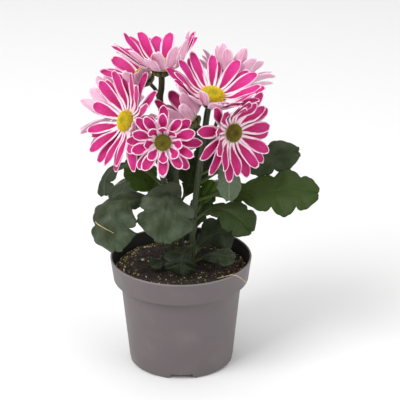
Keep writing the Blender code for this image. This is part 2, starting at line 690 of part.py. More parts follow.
def make_blooms(finish, fixed):
    """Lay the petals of every bloom clear of what stands already, and fuse each bloom's own."""
    made = []
    dropped = 0
    for bloom in BLOOMS:
        own_disc = "bloom_" + bloom.name + "_disc"
        obstacles = [tree_of(obj) for obj in fixed if obj.name != own_disc]
        obstacles += [tree_of(obj) for obj in made]
        parts = [make_core(bloom)]
        for petal in petals_of(bloom):
            laid = lay_petal(bloom, petal, obstacles)
            if laid is None:
                dropped += 1
                continue
            parts.append(put(bloom.name + "_petal", laid, None))
        made.append(fuse("bloom_" + bloom.name + "_petals", parts, finish))
    print("petals left out:", dropped)
    return made


def leaf_width(share, lobes, shift):
    """Half width of a leaf along its midrib as a share of its widest, with rounded lobes."""
    if share < PETIOLE_SHARE:
        return 0.0
    place = (share - PETIOLE_SHARE) / (1.0 - PETIOLE_SHARE)
    stretch, start, power = LEAF_SHAPE
    envelope = math.sin(math.pi * min(1.0, place * stretch + start) ** power)
    cut = abs(math.sin(math.pi * (place * lobes + shift))) ** LOBE_ROUNDING
    return envelope * (1.0 - LOBE_CUT + LOBE_CUT * cut)


def leaf_midrib(leaf):
    """Midrib points of a leaf, from its seat on the side of its stem."""
    points = stalk_points(STALKS[leaf.stem][0])
    share = min((step / ROOT_STEPS for step in range(ROOT_STEPS + 1)),
                key=lambda part: abs(spline(points, part).z - leaf.height))
    axis = spline(points, share)
    stem = direction(points, share)
    towards = (Vector(leaf.midrib[0]) - axis).normalized()
    outward = (towards - stem * towards.dot(stem)).normalized()
    seat = axis + outward * (STEM_RADIUS + GAP + PETIOLE_RADIUS * abs(towards.dot(stem)))
    return [seat] + [Vector(p) for p in leaf.midrib]


def leaf_mesh(leaf):
    """A lobed leaf with its stalk, arched across, waved at its edge, as a thin closed skin."""
    draw = random.Random(leaf.seed)
    shifts = {side: draw.uniform(-LOBE_SHIFT, LOBE_SHIFT) for side in (-1, 1)}
    wave_start = draw.uniform(0, 2 * math.pi)
    midrib = leaf_midrib(leaf)
    face = Vector(leaf.face).normalized()
    half = leaf.columns // 2
    spans = LEAF_SPANS if leaf.columns > 2 else SMALL_LEAF_SPANS
    top = [index / half - 1.0 for index in range(leaf.columns + 1)]
    offsets = top + top[-2:0:-1]
    lifts = [0] + [1] * (leaf.columns - 1) + [0] + [-1] * (leaf.columns - 1)

    def place(column, row):
        share = row / spans
        offset = offsets[column]
        side = 1 if offset > 0 else -1
        here = spline(midrib, share)
        along = direction(midrib, share)
        across = face.cross(along).normalized()
        normal = along.cross(across)
        width = leaf.half_width * leaf_width(share, leaf.lobes, shifts[side])
        blade = smooth_step((share - PETIOLE_SHARE) * BLADE_OPENING)
        reach = max(width, PETIOLE_RADIUS)
        swept = blade * min(LOBE_SWEEP * leaf.half_width * abs(offset),
                            TIP_SWEEP[0] * (1.0 - share) * leaf.half_width + TIP_SWEEP[1])
        turn = math.sin(share * LEAF_WAVE_TURNS + wave_start + side)
        wave = blade * LEAF_WAVE * leaf.half_width * turn * abs(offset)
        drop = blade * leaf.arch * width * abs(offset) ** ARCH_POWER
        thick = PETIOLE_RADIUS + (LEAF_THICKNESS / 2 - PETIOLE_RADIUS) * blade
        return (here + across * offset * reach + along * swept
                + normal * (lifts[column] * thick + wave - drop))

    bm = bmesh.new()
    skin(bm, 2 * leaf.columns, spans, place, lambda column: abs(offsets[column]) * half)
    return bm


def build():
    """Make the whole plant in its pot."""
    clear_scene()
    finishes = {name: material(name, *look) for name, look in FINISHES.items()}
    make_pot(finishes["pot_plastic"])
    make_soil(finishes["peat"])
    stems = make_stems(finishes["stem_green"])
    discs = []
    for bloom in BLOOMS:
        ripeness = "disc_olive" if bloom.name in GREENER_DISCS else "disc_yellow"
        discs.append(make_disc(bloom, finishes[ripeness]))
    make_blooms(finishes["petal_pink"], stems + discs)
    for leaf in LEAVES:
        put(leaf.name, leaf_mesh(leaf), finishes["leaf_green"])


build()
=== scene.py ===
"""Looks of the pot chrysanthemum: petals, florets, veined leaves, ribbed stems, peat and a nursery pot.

Each piece follows the formula of the solid that it stands for, on a finer grid. Metres, +Z up, front at -Y.
"""

import math
import random
from typing import NamedTuple

import bmesh
import bpy
from bpy.props import FloatProperty, FloatVectorProperty, IntProperty, PointerProperty
from mathutils import Matrix, Vector
from mathutils.kdtree import KDTree
from mathutils.noise import noise


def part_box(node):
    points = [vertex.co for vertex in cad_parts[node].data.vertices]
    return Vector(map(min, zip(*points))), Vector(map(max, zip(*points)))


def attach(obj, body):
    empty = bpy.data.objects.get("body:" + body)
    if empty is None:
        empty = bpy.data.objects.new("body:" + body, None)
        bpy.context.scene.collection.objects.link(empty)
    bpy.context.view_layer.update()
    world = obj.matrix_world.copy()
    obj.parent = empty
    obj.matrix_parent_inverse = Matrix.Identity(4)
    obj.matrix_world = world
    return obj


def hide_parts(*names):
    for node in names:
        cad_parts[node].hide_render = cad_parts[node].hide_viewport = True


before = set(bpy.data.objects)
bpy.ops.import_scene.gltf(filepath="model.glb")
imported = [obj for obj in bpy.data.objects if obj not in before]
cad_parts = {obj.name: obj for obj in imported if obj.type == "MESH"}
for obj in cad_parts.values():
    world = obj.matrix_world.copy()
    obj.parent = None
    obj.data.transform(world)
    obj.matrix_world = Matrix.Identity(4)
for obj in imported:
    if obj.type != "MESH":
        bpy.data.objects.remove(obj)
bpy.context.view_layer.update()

bl_info = {
    "name": "Pot Chrysanthemum",
    "version": (1, 0, 0),
    "blender": (4, 5, 0),
    "location": "View3D > Sidebar > Chrysanthemum",
    "description": "Dresses the solids of a pot chrysanthemum with petals, leaves, peat and a pot",
    "category": "Object",
}

BODY = "root"
POT_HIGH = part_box("pot")[1]

GAP = 0.0003
MERGE = 0.000001
TANGENT_STEP = 0.01
MILLIMETRES = 1000
ANY_TURN = (0.0, 6.28)
ROUND_SIDES = 24

# Pot
WALL = 0.0012
BAND_HEIGHT = 0.020
BAND_FOOT_RADIUS = 0.0575
BODY_TOP_RADIUS = 0.0515
BODY_FOOT_RADIUS = 0.0445
BASE_CORNER = 0.003
FLOOR_BEVEL = 0.002
FLOOR_BEVEL_HEIGHT = 0.004
POCKETS = 4
POCKET_FACETS = 8
POCKET_WIDTH = 0.025
POCKET_TOP_WIDTH = 0.0185
POCKET_HEIGHT = 0.0045
POCKET_INNER_RADIUS = 0.033
POCKET_OUTER_RADIUS = 0.052
UPWARD = 0.5
SHARP_ANGLE = math.radians(35)

# Soil and what lies on it
SOIL_LEVEL = 0.084
SOIL_CROWN = 0.0030
SOIL_EDGE = BAND_FOOT_RADIUS - WALL - GAP
SOIL_FADE = 0.003
WALL_CLEARANCE = 0.0008
# Layer and scale of the noise for the big, small and fine lumps, and how high each rises
LUMP_LAYERS = ((0.0, 120.0), (0.3, 330.0), (0.7, 760.0))
LUMP_RISES = (0.8, 0.6, 0.45)
CRUMB_SEED = 41
CRUMB_RADII = (0.0003, 0.0009)
CRUMB_STRETCH = ((0.7, 1.4), (0.7, 1.2), (0.5, 0.9))
CRUMB_TILT = 0.6
CRUMB_DENTS = (-0.3, 0.2)
CRUMB_PROUD = 0.3
BIG_CRUMB = 1.9
BIG_CRUMB_SHARE = 0.04
WALL_CRUMB_SHARE = 0.6
WALL_CRUMB_SPREAD = 0.0052
OPEN_CRUMB_REACH = 0.96
PALE_FRONT = -0.015
PALE_POWER = 0.9
DARK_POWER = 4.0
CRUMB_SPECKLE = 0.24
ROOTLET_SEED = 57
ROOTLET_STEPS = 6
ROOTLET_GRID = (18, 5)
ROOTLET_RADII = (0.00014, 0.00026)
ROOTLET_INSET = (0.001, 0.012)
ROOTLET_LIFT = (0.0002, 0.0014)
ROOTLET_STRIDE = (0.0014, 0.003)
ROOTLET_AIM = 0.8
ROOTLET_BEND = 1.0
RIGHT_ROOTLETS = 0.7
RIGHT_WALL = (-0.1, 0.35)
STRAND_SIDE = (0.2, 0.1, 1.0)
STRAW_RADIUS = 0.00038
STRAW_GRID = (36, 8)
STRAW_END = 0.5

# Stems and calyces
STEM_RADIUS = 0.0025
PEDUNCLE_RADIUS = 0.0015
STEM_SWELL = 0.05
STEM_SWELL_SCALE = 90
STREAKS_ALONG = (1.0, 1.0, 0.12)
NECK_HEIGHTS = (-0.019, -0.0085)
CALYX_DEPTH = 0.006
CALYX_OUTLINE = ((0.0, 0.0), (0.72, 0.0), (0.86, 0.0012), (0.70, 0.0036))
CALYX_FOOT = 1.5
BRACT_SEED = 70
BRACT_GRID = (4, 6)
BRACT_HALF_THICKNESS = 0.00018
BRACT_JITTER = 0.15
BRACT_WIDTHS = (0.85, 1.15)
BRACT_FLARE = (0.0001, 0.0006)
BRACT_SHAPE = (0.12, 0.86, 1.1)
# Radians that a row of bracts is turned for each metre of its depth
ROW_TURN = 900
HAIR_LENGTHS = (0.0005, 0.0011)
HAIR_RADIUS = 0.00006
HAIR_TIP = 0.00001
HAIR_LEAN = (-0.4, 0.4)
HAIR_RISE = (-0.2, 0.5)
HAIR_STAND = 0.45
BRACT_TONE = 2
HAIR_TONE = 4.0

# Discs and the receptacle below them
CORE_LOW = -0.0042
CORE_TOP = 0.0008
CORE_SHARE = 0.80
CORE_TAPER = 0.92
DISC_CROWN = 0.0034
DISC_EDGE = 0.0004
DISC_LOW = CORE_TOP + GAP
# The discs of these blooms get the olive finish: their florets are still unopened, and its darker olive is
# also painted shade, as these blooms lie in shade
GREENER_SHADED_DISCS = ("front", "right", "middle", "low_back")
FULL_DISC = 0.0094
BED_STEPS = 6
BED_FOOT = 0.88
BED_REACH = 0.93
BED_HEIGHT = 0.85
FLORET_SEED = 300
FLORET_REACH = 0.97
FLORET_SIZES = (0.85, 1.15)
FLORET_SUNK = 0.5
# How upright a floret stands: most at the disc's middle, least at its edge
UPRIGHT_MIDDLE = 1.4
UPRIGHT_REACH = 1.02
UPRIGHT_EDGE = 0.35
BED_PLACE = 0.35
BUD_STRETCH = 1.35
BUD_MIDDLE = 0.8
FLORET_TEETH = 5
FLORET_FOOT = 0.55
FLORET_MOUTH = 1.05
FLORET_DEPTH = 2.2
TOOTH_PULL = 0.55
TOOTH_DROP = 0.5
GOLDEN_ANGLE = math.radians(137.508)
OPEN_FLORETS = 0.62

# Petals
PETAL_SEED = 900
PETAL_THICKNESS = 0.0009
PETAL_ROOT = 0.55
PETAL_WIDEST = 0.62
PETAL_NECK = 0.30
PETAL_END = 1.04
RISE_START = 0.08
RISE_SPAN = 0.34
CHANNEL_RISE = 2.5
RING_DROP = 0.0016
RING_FILL = 0.90
CURVE_STEPS = 24
ANGLE_SPREAD = 0.11
LENGTH_RANGE = (0.93, 1.03)
WIDTH_RANGE = (0.88, 1.10)
CUP_SPREAD = 5.0
CURL_RANGE = (2.0, 14.0)
TWIST_SPREAD = 8.0
CHANNEL_RANGE = (0.08, 0.14)
LIFTS = (0, 7, -7, 14, -14, 21, -21, 28, 36, 44)
SHORTER = (1.0, 0.84, 0.68)
SAME_PLACE = 0.0002
TIP_END = 1.004
ROW_CROWDING = 1.35
CHANNEL_POWER = 1.5
RIPPLE_WAVES = 12
HOOK_RANGE = (-0.0004, 0.0012)
HOOK_START = 0.78
HOOK_SPAN = 0.22
HOOK_MIDDLE = 0.4
ROOT_THICKENING = 1.5
ROOT_THINNING = 3
STREAK_STRETCH = 1.6
STREAK_SHIFT = 9.0
# Millimetres of white margin for each metre of its setting
MARGIN_AT_ROOT = 2600
MARGIN_AT_TIP = 950

# Leaves
PETIOLE_RADIUS = 0.0012
PETIOLE_SHARE = 0.16
BLADE_OPENING = 8.0
LEAF_SHAPE = (0.86, 0.07, 1.45)
LOBE_CUT = 0.32
LOBE_ROUNDING = 0.6
LOBE_SHIFT = 0.12
LOBE_SWEEP = 0.15
TIP_SWEEP = (0.9, 0.001)
LEAF_WAVE = 0.06
LEAF_WAVE_TURNS = 14.0
ARCH_POWER = 1.6
ROOT_STEPS = 240
ROOT_SUNK = 0.0015
TEETH = 3
TOOTH = 0.07
VEIN_RISE = 0.35
VEIN_HALF_WIDTH = 0.0016
QUILT_POWER = 0.7
QUILT_START = 2.5
QUILT_FULL_WIDTH = 0.010
CRUMPLE_SCALE = 95.0
CRUMPLE_MIDDLE = 0.4

# Camera
CAMERA_PLACE = (0.0, -1.3617, 0.7252)
CAMERA_PITCH = math.radians(23.03)
CAMERA_YAW = math.radians(-0.68)
CAMERA_LENS = 158.9


class Bloom(NamedTuple):
    """One flower head: where it is, where it looks, and how its petals lie."""

    name: str
    centre: tuple
    facing: tuple
    radius: float
    disc: float
    width: float
    rings: tuple
    lean: float
    lean_to: tuple
    seed: int


class Route(NamedTuple):
    """One stem or flower stalk: the bloom it carries, its radius and the points it passes below it."""

    bloom: str
    radius: float
    points: tuple


class Leaf(NamedTuple):
    """One leaf: where it grows, its midrib out to the tip, half its width, how it faces and arches."""

    name: str
    stem: str
    height: float
    midrib: tuple
    half_width: float
    face: tuple
    arch: float
    lobes: int
    seed: int


class Petal(NamedTuple):
    """One petal in its bloom's own frame."""

    angle: float
    root_height: float
    length: float
    width: float
    cup: float
    curl: float
    twist: float
    channel: float
    ring_count: int


BLOOMS = (
    Bloom("front", (-0.0140, -0.048, 0.217), (-0.02, -0.99, 0.13), 0.0315, 0.0072, 0.0098,
          ((8, 0.62, 52.0), (10, 0.92, 30.0), (8, 1.0, 8.0)), 4.0, (0, 0, 1), 3),
    Bloom("left", (-0.0440, -0.008, 0.220), (-0.73, -0.52, 0.44), 0.0455, 0.0094, 0.0108,
          ((12, 0.96, 26.0), (11, 1.0, 8.0)), 9.0, (0.4, 0, 1), 11),
    Bloom("upper_right", (0.0260, -0.018, 0.245), (0.22, -0.33, 0.92), 0.0460, 0.0104, 0.0108,
          ((12, 0.96, 42.0), (10, 1.0, 32.0)), 20.0, (-0.1, -1, 0), 5),
    Bloom("right", (0.0420, -0.038, 0.221), (0.57, -0.81, 0.12), 0.0435, 0.0080, 0.0108,
          ((11, 0.84, 36.0), (12, 1.0, 14.0)), 15.0, (-1, -0.5, 0.3), 7),
    Bloom("top", (-0.0150, 0.005, 0.264), (0.02, 0.04, 1.00), 0.0490, 0.0090, 0.0112,
          ((10, 0.96, 45.0), (9, 1.0, 31.0)), 4.0, (0, -1, 0), 9),
    Bloom("middle", (0.0070, -0.016, 0.2265), (-0.68, 0.13, 0.72), 0.0430, 0.0080, 0.0104,
          ((9, 0.95, 56.0), (9, 1.0, 42.0)), 0.0, (0, 0, 1), 13),
    Bloom("back_left", (-0.0310, 0.024, 0.249), (-0.58, -0.12, 0.80), 0.0410, 0.0085, 0.0106,
          ((9, 0.95, 50.0), (9, 1.0, 36.0)), 0.0, (0, 0, 1), 17),
    Bloom("back_right", (0.0420, 0.027, 0.245), (0.30, 0.62, 0.72), 0.0380, 0.0085, 0.0106,
          ((9, 0.95, 44.0), (9, 1.0, 30.0)), 0.0, (0, 0, 1), 19),
    Bloom("low_back", (-0.0520, 0.036, 0.213), (-0.66, 0.66, 0.35), 0.0400, 0.0085, 0.0106,
          ((9, 0.95, 34.0), (9, 1.0, 18.0)), 0.0, (0, 0, 1), 23),
)

# How far a bloom's petals are deepened towards crimson, a painted shade on the blooms that lie in shade; the
# others stay as they are
PETAL_SHADE_DEPTHS = {"front": 0.4, "right": 0.45, "middle": 0.35, "low_back": 0.35,
                "left": 0.28, "back_left": 0.15}

STALKS = {
    "stem_left": (
        Route("left", STEM_RADIUS, (
            (-0.009, -0.004, 0.058), (-0.009, -0.004, 0.090), (-0.010, -0.003, 0.130),
            (-0.015, 0.001, 0.168), (-0.023, 0.005, 0.193))),
        Route("low_back", PEDUNCLE_RADIUS, (
            (-0.015, 0.001, 0.168), (-0.021, 0.010, 0.184), (-0.030, 0.018, 0.197))),
    ),
    "stem_centre": (
        Route("top", STEM_RADIUS, (
            (0.000, 0.005, 0.058), (0.000, 0.005, 0.090), (-0.001, 0.007, 0.130),
            (-0.005, 0.007, 0.170), (-0.012, 0.006, 0.205), (-0.0165, 0.005, 0.232))),
        Route("front", PEDUNCLE_RADIUS, (
            (-0.005, 0.007, 0.170), (-0.007, -0.006, 0.190), (-0.011, -0.020, 0.206))),
        Route("back_left", PEDUNCLE_RADIUS, (
            (-0.0155, 0.005, 0.222), (-0.017, 0.015, 0.225))),
    ),
    "stem_right": (
        Route("upper_right", STEM_RADIUS, (
            (0.009, -0.003, 0.058), (0.009, -0.003, 0.090), (0.0105, -0.004, 0.130),
            (0.015, -0.005, 0.172), (0.019, -0.006, 0.202))),
        Route("right", PEDUNCLE_RADIUS, (
            (0.016, -0.005, 0.180), (0.022, -0.010, 0.196), (0.028, -0.018, 0.208))),
        Route("back_right", PEDUNCLE_RADIUS, (
            (0.017, -0.005, 0.188), (0.027, 0.003, 0.206))),
        Route("middle", PEDUNCLE_RADIUS, (
            (0.016, -0.005, 0.182), (0.018, -0.012, 0.200))),
    ),
}

LEAVES = (
    Leaf("leaf_front_left", "stem_left", 0.142, ((-0.029, -0.014, 0.154), (-0.047, -0.026, 0.156),
         (-0.057, -0.037, 0.141), (-0.054, -0.042, 0.119)), 0.024, (-0.35, -0.55, 0.75), 0.22, 3, 1),
    Leaf("leaf_front", "stem_left", 0.128, ((-0.0065, -0.018, 0.152), (-0.008, -0.030, 0.163),
         (-0.0115, -0.045, 0.153), (-0.0145, -0.051, 0.131)), 0.0265, (0.02, -0.75, 0.65), 0.22, 3, 2),
    Leaf("leaf_front_right", "stem_right", 0.130, ((0.022, -0.017, 0.143), (0.035, -0.027, 0.149),
         (0.048, -0.034, 0.144), (0.058, -0.038, 0.134)), 0.0168, (0.1, -0.6, 0.8), 0.12, 3, 3),
    Leaf("leaf_right", "stem_right", 0.148, ((0.034, -0.009, 0.156), (0.062, -0.013, 0.159),
         (0.088, -0.018, 0.162), (0.113, -0.022, 0.161)), 0.0225, (-0.1, -0.62, 0.78), 0.15, 4, 4),
    Leaf("leaf_back_right", "stem_right", 0.163, ((0.042, 0.006, 0.175), (0.070, 0.011, 0.179),
         (0.099, 0.014, 0.184)), 0.0163, (-0.1, -0.75, 0.62), 0.10, 3, 5),
    Leaf("leaf_hanging", "stem_right", 0.172, ((0.031, -0.019, 0.183), (0.039, -0.026, 0.175),
         (0.040, -0.028, 0.158)), 0.011, (0.25, 0.75, -0.60), 0.20, 2, 6),
    Leaf("leaf_curled", "stem_left", 0.162, ((-0.036, 0.001, 0.177), (-0.053, -0.003, 0.179),
         (-0.063, -0.008, 0.169), (-0.064, -0.009, 0.155)), 0.012, (-0.5, 0.6, 0.6), 0.35, 3, 7),
    Leaf("leaf_bright_left", "stem_left", 0.134, ((-0.020, 0.008, 0.148), (-0.031, 0.012, 0.163),
         (-0.043, 0.015, 0.178)), 0.016, (0.45, -0.75, 0.45), 0.10, 3, 8),
    Leaf("leaf_bright_right", "stem_right", 0.137, ((0.020, -0.003, 0.150), (0.0275, -0.003, 0.164)),
         0.0085, (-0.3, -0.9, 0.3), 0.10, 2, 9),
    Leaf("leaf_behind", "stem_right", 0.156, ((0.020, 0.010, 0.172), (0.034, 0.018, 0.198)),
         0.015, (-0.25, -0.9, 0.3), 0.12, 3, 10),
    Leaf("leaf_inner", "stem_centre", 0.166, ((0.001, 0.020, 0.184), (0.003, 0.027, 0.206)),
         0.017, (0.0, -0.95, 0.3), 0.12, 3, 18),
    Leaf("leaf_inner_low", "stem_centre", 0.140, ((0.008, 0.019, 0.153), (0.011, 0.027, 0.174)),
         0.016, (-0.1, -0.9, 0.4), 0.12, 3, 19),
    Leaf("leaf_inner_left", "stem_centre", 0.146, ((-0.007, 0.019, 0.160), (-0.008, 0.026, 0.184)),
         0.011, (0.1, -0.95, 0.3), 0.12, 3, 20),
    Leaf("leaf_inner_right", "stem_right", 0.116, ((0.016, 0.005, 0.131), (0.022, 0.008, 0.154)),
         0.012, (-0.2, -0.9, 0.4), 0.12, 3, 21),
    Leaf("leaf_low_right", "stem_right", 0.094, ((0.017, 0.009, 0.101), (0.030, 0.014, 0.109),
         (0.044, 0.017, 0.110)), 0.019, (-0.1, -0.7, 0.7), 0.15, 3, 11),
    Leaf("leaf_soil_right", "stem_right", 0.0905, ((0.021, -0.007, 0.0965), (0.033, -0.010, 0.099),
         (0.045, -0.013, 0.0975)), 0.011, (0.0, -0.45, 0.9), 0.10, 2, 12),
    Leaf("leaf_low_front", "stem_right", 0.107, ((0.005, -0.018, 0.109), (0.001, -0.026, 0.104),
         (-0.001, -0.030, 0.0925)), 0.017, (0.1, -0.8, 0.6), 0.15, 3, 13),
    Leaf("leaf_soil_left", "stem_left", 0.0915, ((-0.016, -0.012, 0.0955), (-0.025, -0.018, 0.0945)),
         0.007, (0.0, -0.4, 0.9), 0.10, 2, 14),
    Leaf("leaf_rear_left", "stem_centre", 0.132, ((-0.018, 0.024, 0.147), (-0.034, 0.040, 0.151),
         (-0.047, 0.054, 0.142), (-0.053, 0.061, 0.124)), 0.024, (-0.4, 0.5, 0.8), 0.22, 3, 15),
    Leaf("leaf_rear_right", "stem_centre", 0.124, ((0.018, 0.024, 0.141), (0.034, 0.041, 0.146),
         (0.047, 0.055, 0.138), (0.054, 0.063, 0.120)), 0.024, (0.4, 0.5, 0.8), 0.22, 3, 16),
    Leaf("leaf_rear_low", "stem_centre", 0.103, ((0.002, 0.023, 0.113), (0.003, 0.038, 0.115),
         (0.004, 0.052, 0.108)), 0.018, (0.0, 0.5, 0.85), 0.18, 3, 17),
)

# How bright a leaf is, to 1 for the youngest, the others 0; below 0, to -0.5 for the darkest, it is a
# painted shade on the leaves that lie low, inside and behind the plant
LEAF_TINTS_AND_SHADE = {
    "leaf_right": 0.6, "leaf_back_right": 0.2, "leaf_front_right": 0.4, "leaf_hanging": 0.3,
    "leaf_curled": 0.3, "leaf_bright_left": 1.0, "leaf_bright_right": 1.0, "leaf_inner_low": 0.5,
    "leaf_inner_left": -0.3, "leaf_inner_right": 0.3, "leaf_low_front": -0.5, "leaf_low_right": -0.25,
    "leaf_inner": -0.3, "leaf_behind": -0.4,
}

# Depth of each row's roots and tips below the petals, bracts in the row, half width of one
BRACT_ROWS = ((0.0060, 0.0024, 7, 0.0013), (0.0050, 0.0010, 9, 0.0015), (0.0038, -0.0004, 11, 0.0016))

# Points that each straw passes, from one end to the other
STRAWS = {
    "straw_on_rim": (
        (0.0300, -0.0345, 0.0900), (0.0375, -0.0400, 0.0945), (0.0425, -0.0430, 0.0972),
        (0.0480, -0.0465, 0.0968), (0.0540, -0.0500, 0.0930)),
    "straw_on_leaf": (
        (-0.0704, -0.0287, 0.1393), (-0.0678, -0.0325, 0.1386), (-0.0642, -0.0361, 0.1379),
        (-0.0608, -0.0380, 0.1366), (-0.0573, -0.0394, 0.1353), (-0.0550, -0.0410, 0.1346)),
}


def srgb(red, green, blue):
    """Linear colour of an 8-bit one."""
    return tuple(((c / 255 + 0.055) / 1.055) ** 2.4 for c in (red, green, blue))


def mixed(start, end, share):
    """Value at a share of the way from start to end."""
    return start + (end - start) * share


def smooth_step(value):
    """0 to 1 with flat ends."""
    value = min(max(value, 0.0), 1.0)
    return value * value * (3.0 - 2.0 * value)


def polar(reach, angle, height=0.0):
    """Point at a distance from Z and an angle round it."""
    return Vector((reach * math.cos(angle), reach * math.sin(angle), height))


def half_of(offset):
    """1 right of a blade's middle, -1 left of it."""
    return 1 if offset > 0 else -1


def spline(points, share):
    """Point of a smooth curve through the points, at a share of its length in points."""
    last = len(points) - 1
    place = share * last
    index = min(int(place), last - 1)
    t = place - index
    p1, p2 = points[index], points[index + 1]
    p0 = points[index - 1] if index > 0 else p1 * 2 - p2
    p3 = points[index + 2] if index + 2 <= last else p2 * 2 - p1
    return 0.5 * ((2 * p1) + (p2 - p0) * t + (2 * p0 - 5 * p1 + 4 * p2 - p3) * t * t
                  + (3 * p1 - p0 - 3 * p2 + p3) * t * t * t)


def direction(points, share):
    """Unit vector along a smooth curve at a share of it."""
    ahead = spline(points, min(share + TANGENT_STEP, 1.0))
    behind = spline(points, max(share - TANGENT_STEP, 0.0))
    return (ahead - behind).normalized()


def arc(centre, radius, start, end, steps):
    """Points of (radius, height) round a centre, from one angle to another in degrees."""
    turns = [math.radians(mixed(start, end, step / steps)) for step in range(steps + 1)]
    return [(centre[0] + radius * math.cos(a), centre[1] + radius * math.sin(a)) for a in turns]


def turned(bm, profile, sides):
    """Spin an outline of (radius, height) points about Z; ends on the axis close it."""
    points = [bm.verts.new((radius, 0.0, height)) for radius, height in profile]
    edges = [bm.edges.new(pair) for pair in zip(points, points[1:])]
    bmesh.ops.spin(bm, geom=points + edges, cent=(0, 0, 0), axis=(0, 0, 1), angle=2 * math.pi,
                   steps=sides, use_merge=True, use_duplicate=False)
    bmesh.ops.remove_doubles(bm, verts=bm.verts, dist=MERGE)
    bmesh.ops.recalc_face_normals(bm, faces=bm.faces)


def sheet(bm, columns, rows, place, marks, side_of):
    """Lay a grid; place gives each column and row its point, marks its surface values by layer name."""
    layers = {name: bm.verts.layers.float[name] for name in bm.verts.layers.float.keys()}
    verts = bmesh.ops.create_grid(bm, x_segments=columns, y_segments=rows, size=0.5)["verts"]
    for face in {face for vert in verts for face in vert.link_faces}:
        face.material_index = side_of(int((face.calc_center_median().x + 0.5) * columns))
    for vert in verts:
        column = round((vert.co.x + 0.5) * columns)
        row = round((vert.co.y + 0.5) * rows)
        vert.co = place(column, row)
        for name, value in marks(column, row).items():
            vert[layers[name]] = value
    return verts


def tube(bm, sides, rows, place, marks=lambda column, row: {}, side_of=lambda column: 0):
    """Wrap a grid round into a tube with closed ends; side_of gives each facet across its finish."""
    verts = sheet(bm, sides, rows, lambda column, row: place(column % sides, row),
                  lambda column, row: marks(column % sides, row), side_of)
    kept = [vert for vert in verts if vert.is_valid]
    bmesh.ops.remove_doubles(bm, verts=kept, dist=MERGE)
    kept = [vert for vert in kept if vert.is_valid]
    ends = {edge for vert in kept for edge in vert.link_edges if edge.is_boundary}
    bmesh.ops.holes_fill(bm, edges=list(ends), sides=0)
    return kept


def blade(bm, columns, rows, surface, half_thickness, marks):
    """A thin closed blade; surface gives a point and its normal by offset from -1 to 1 and share along."""
    def spread(column):
        upper = column <= columns
        offset = 2 * column / columns - 1 if upper else 3 - 2 * column / columns
        lift = 0.0 if column in (0, columns) else (1.0 if upper else -1.0)
        return offset, lift

    def place(column, row):
        offset, lift = spread(column)
        spot, normal = surface(offset, row / rows)
        return spot + normal * lift * half_thickness(offset, row / rows)

    def values(column, row):
        return marks(spread(column)[0], row / rows)
    return tube(bm, 2 * columns, rows, place, values, lambda column: int(column >= columns))


def marked(*names):
    """A new bmesh whose vertices carry the named surface values."""
    bm = bmesh.new()
    for name in names:
        bm.verts.layers.float.new(name)
    return bm


def absorb(bm, other):
    """Move another bmesh's geometry into a bmesh."""
    mesh = bpy.data.meshes.new("moved")
    other.to_mesh(mesh)
    other.free()
    bm.from_mesh(mesh)
    bpy.data.meshes.remove(mesh)


def tag(bm, verts, **values):
    """Set surface values on the vertices."""
    for name, value in values.items():
        layer = bm.verts.layers.float[name]
        for vert in verts:
            vert[layer] = value


def piece(name, bm, finishes, replaces=()):
    """Turn a bmesh into a finished piece that rides on the plant and stands for its CAD nodes."""
    mesh = bpy.data.meshes.new(name)
    bm.to_mesh(mesh)
    bm.free()
    for finish in finishes:
        mesh.materials.append(finish)
    mesh.shade_smooth()
    made = bpy.data.objects.new(name, mesh)
    bpy.context.scene.collection.objects.link(made)
    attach(made, BODY)
    if replaces:
        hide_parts(*replaces)
    return made


def combined(target, cutter, operation):
    """Join a cutter to a bmesh, or cut it out, and return the result as a new bmesh."""
    objects = []
    for bm in (target, cutter):
        mesh = bpy.data.meshes.new("operand")
        bm.to_mesh(mesh)
        bm.free()
        objects.append(bpy.data.objects.new("operand", mesh))
        bpy.context.scene.collection.objects.link(objects[-1])
    kept, tool = objects
    boolean = kept.modifiers.new("combined", "BOOLEAN")
    boolean.operation = operation
    boolean.object = tool
    bpy.context.view_layer.update()
    result = bmesh.new()
    result.from_mesh(kept.evaluated_get(bpy.context.evaluated_depsgraph_get()).data)
    for obj in objects:
        bpy.data.objects.remove(obj, do_unlink=True)
    return result


def bloom_frame(bloom):
    """Matrix that takes a bloom's own frame, +Z out of its disc, to its place."""
    turn = Vector(bloom.facing).to_track_quat("Z", "Y").to_matrix().to_4x4()
    return Matrix.Translation(bloom.centre) @ turn


def stalk_points(route):
    """The points of a stem or stalk, with the two that lead it straight into its bloom's calyx."""
    bloom = next(bloom for bloom in BLOOMS if bloom.name == route.bloom)
    turn = bloom_frame(bloom)
    return [Vector(p) for p in route.points] + [turn @ Vector((0, 0, height)) for height in NECK_HEIGHTS]


def node(tree, kind, sockets=None, **settings):
    """Add a shader node; a socket's value is a link where it is another node's output."""
    made = tree.nodes.new("ShaderNode" + kind)
    for key, value in settings.items():
        setattr(made, key, value)
    for key, value in (sockets or {}).items():
        if isinstance(value, bpy.types.NodeSocket):
            tree.links.new(value, made.inputs[key])
        else:
            made.inputs[key].default_value = value
    return made


def maths(tree, operation, *values):
    """Output of a Math node."""
    return node(tree, "Math", dict(enumerate(values)), operation=operation).outputs[0]


def value_of(tree, name):
    """Output of a surface value that the piece's vertices carry."""
    return node(tree, "Attribute", attribute_name=name).outputs["Fac"]


def places(tree, scale=(1.0, 1.0, 1.0)):
    """Object coordinates, stretched by a scale."""
    spot = node(tree, "TexCoord").outputs["Object"]
    return node(tree, "Mapping", {"Vector": spot, "Scale": scale}).outputs[0]


def grain(tree, vector, scale, detail=3.0, roughness=0.5):
    """Output of a noise texture, in lumps per metre, or per millimetre on a petal or a leaf."""
    sockets = {"Vector": vector, "Scale": scale, "Detail": detail, "Roughness": roughness}
    return node(tree, "TexNoise", sockets).outputs["Fac"]


def ease(tree, value, low, high, start=0.0, end=1.0):
    """Smooth change from start to end as the value goes from low to high."""
    sockets = {"Value": value, "From Min": low, "From Max": high, "To Min": start, "To Max": end}
    return node(tree, "MapRange", sockets, interpolation_type="SMOOTHSTEP").outputs["Result"]


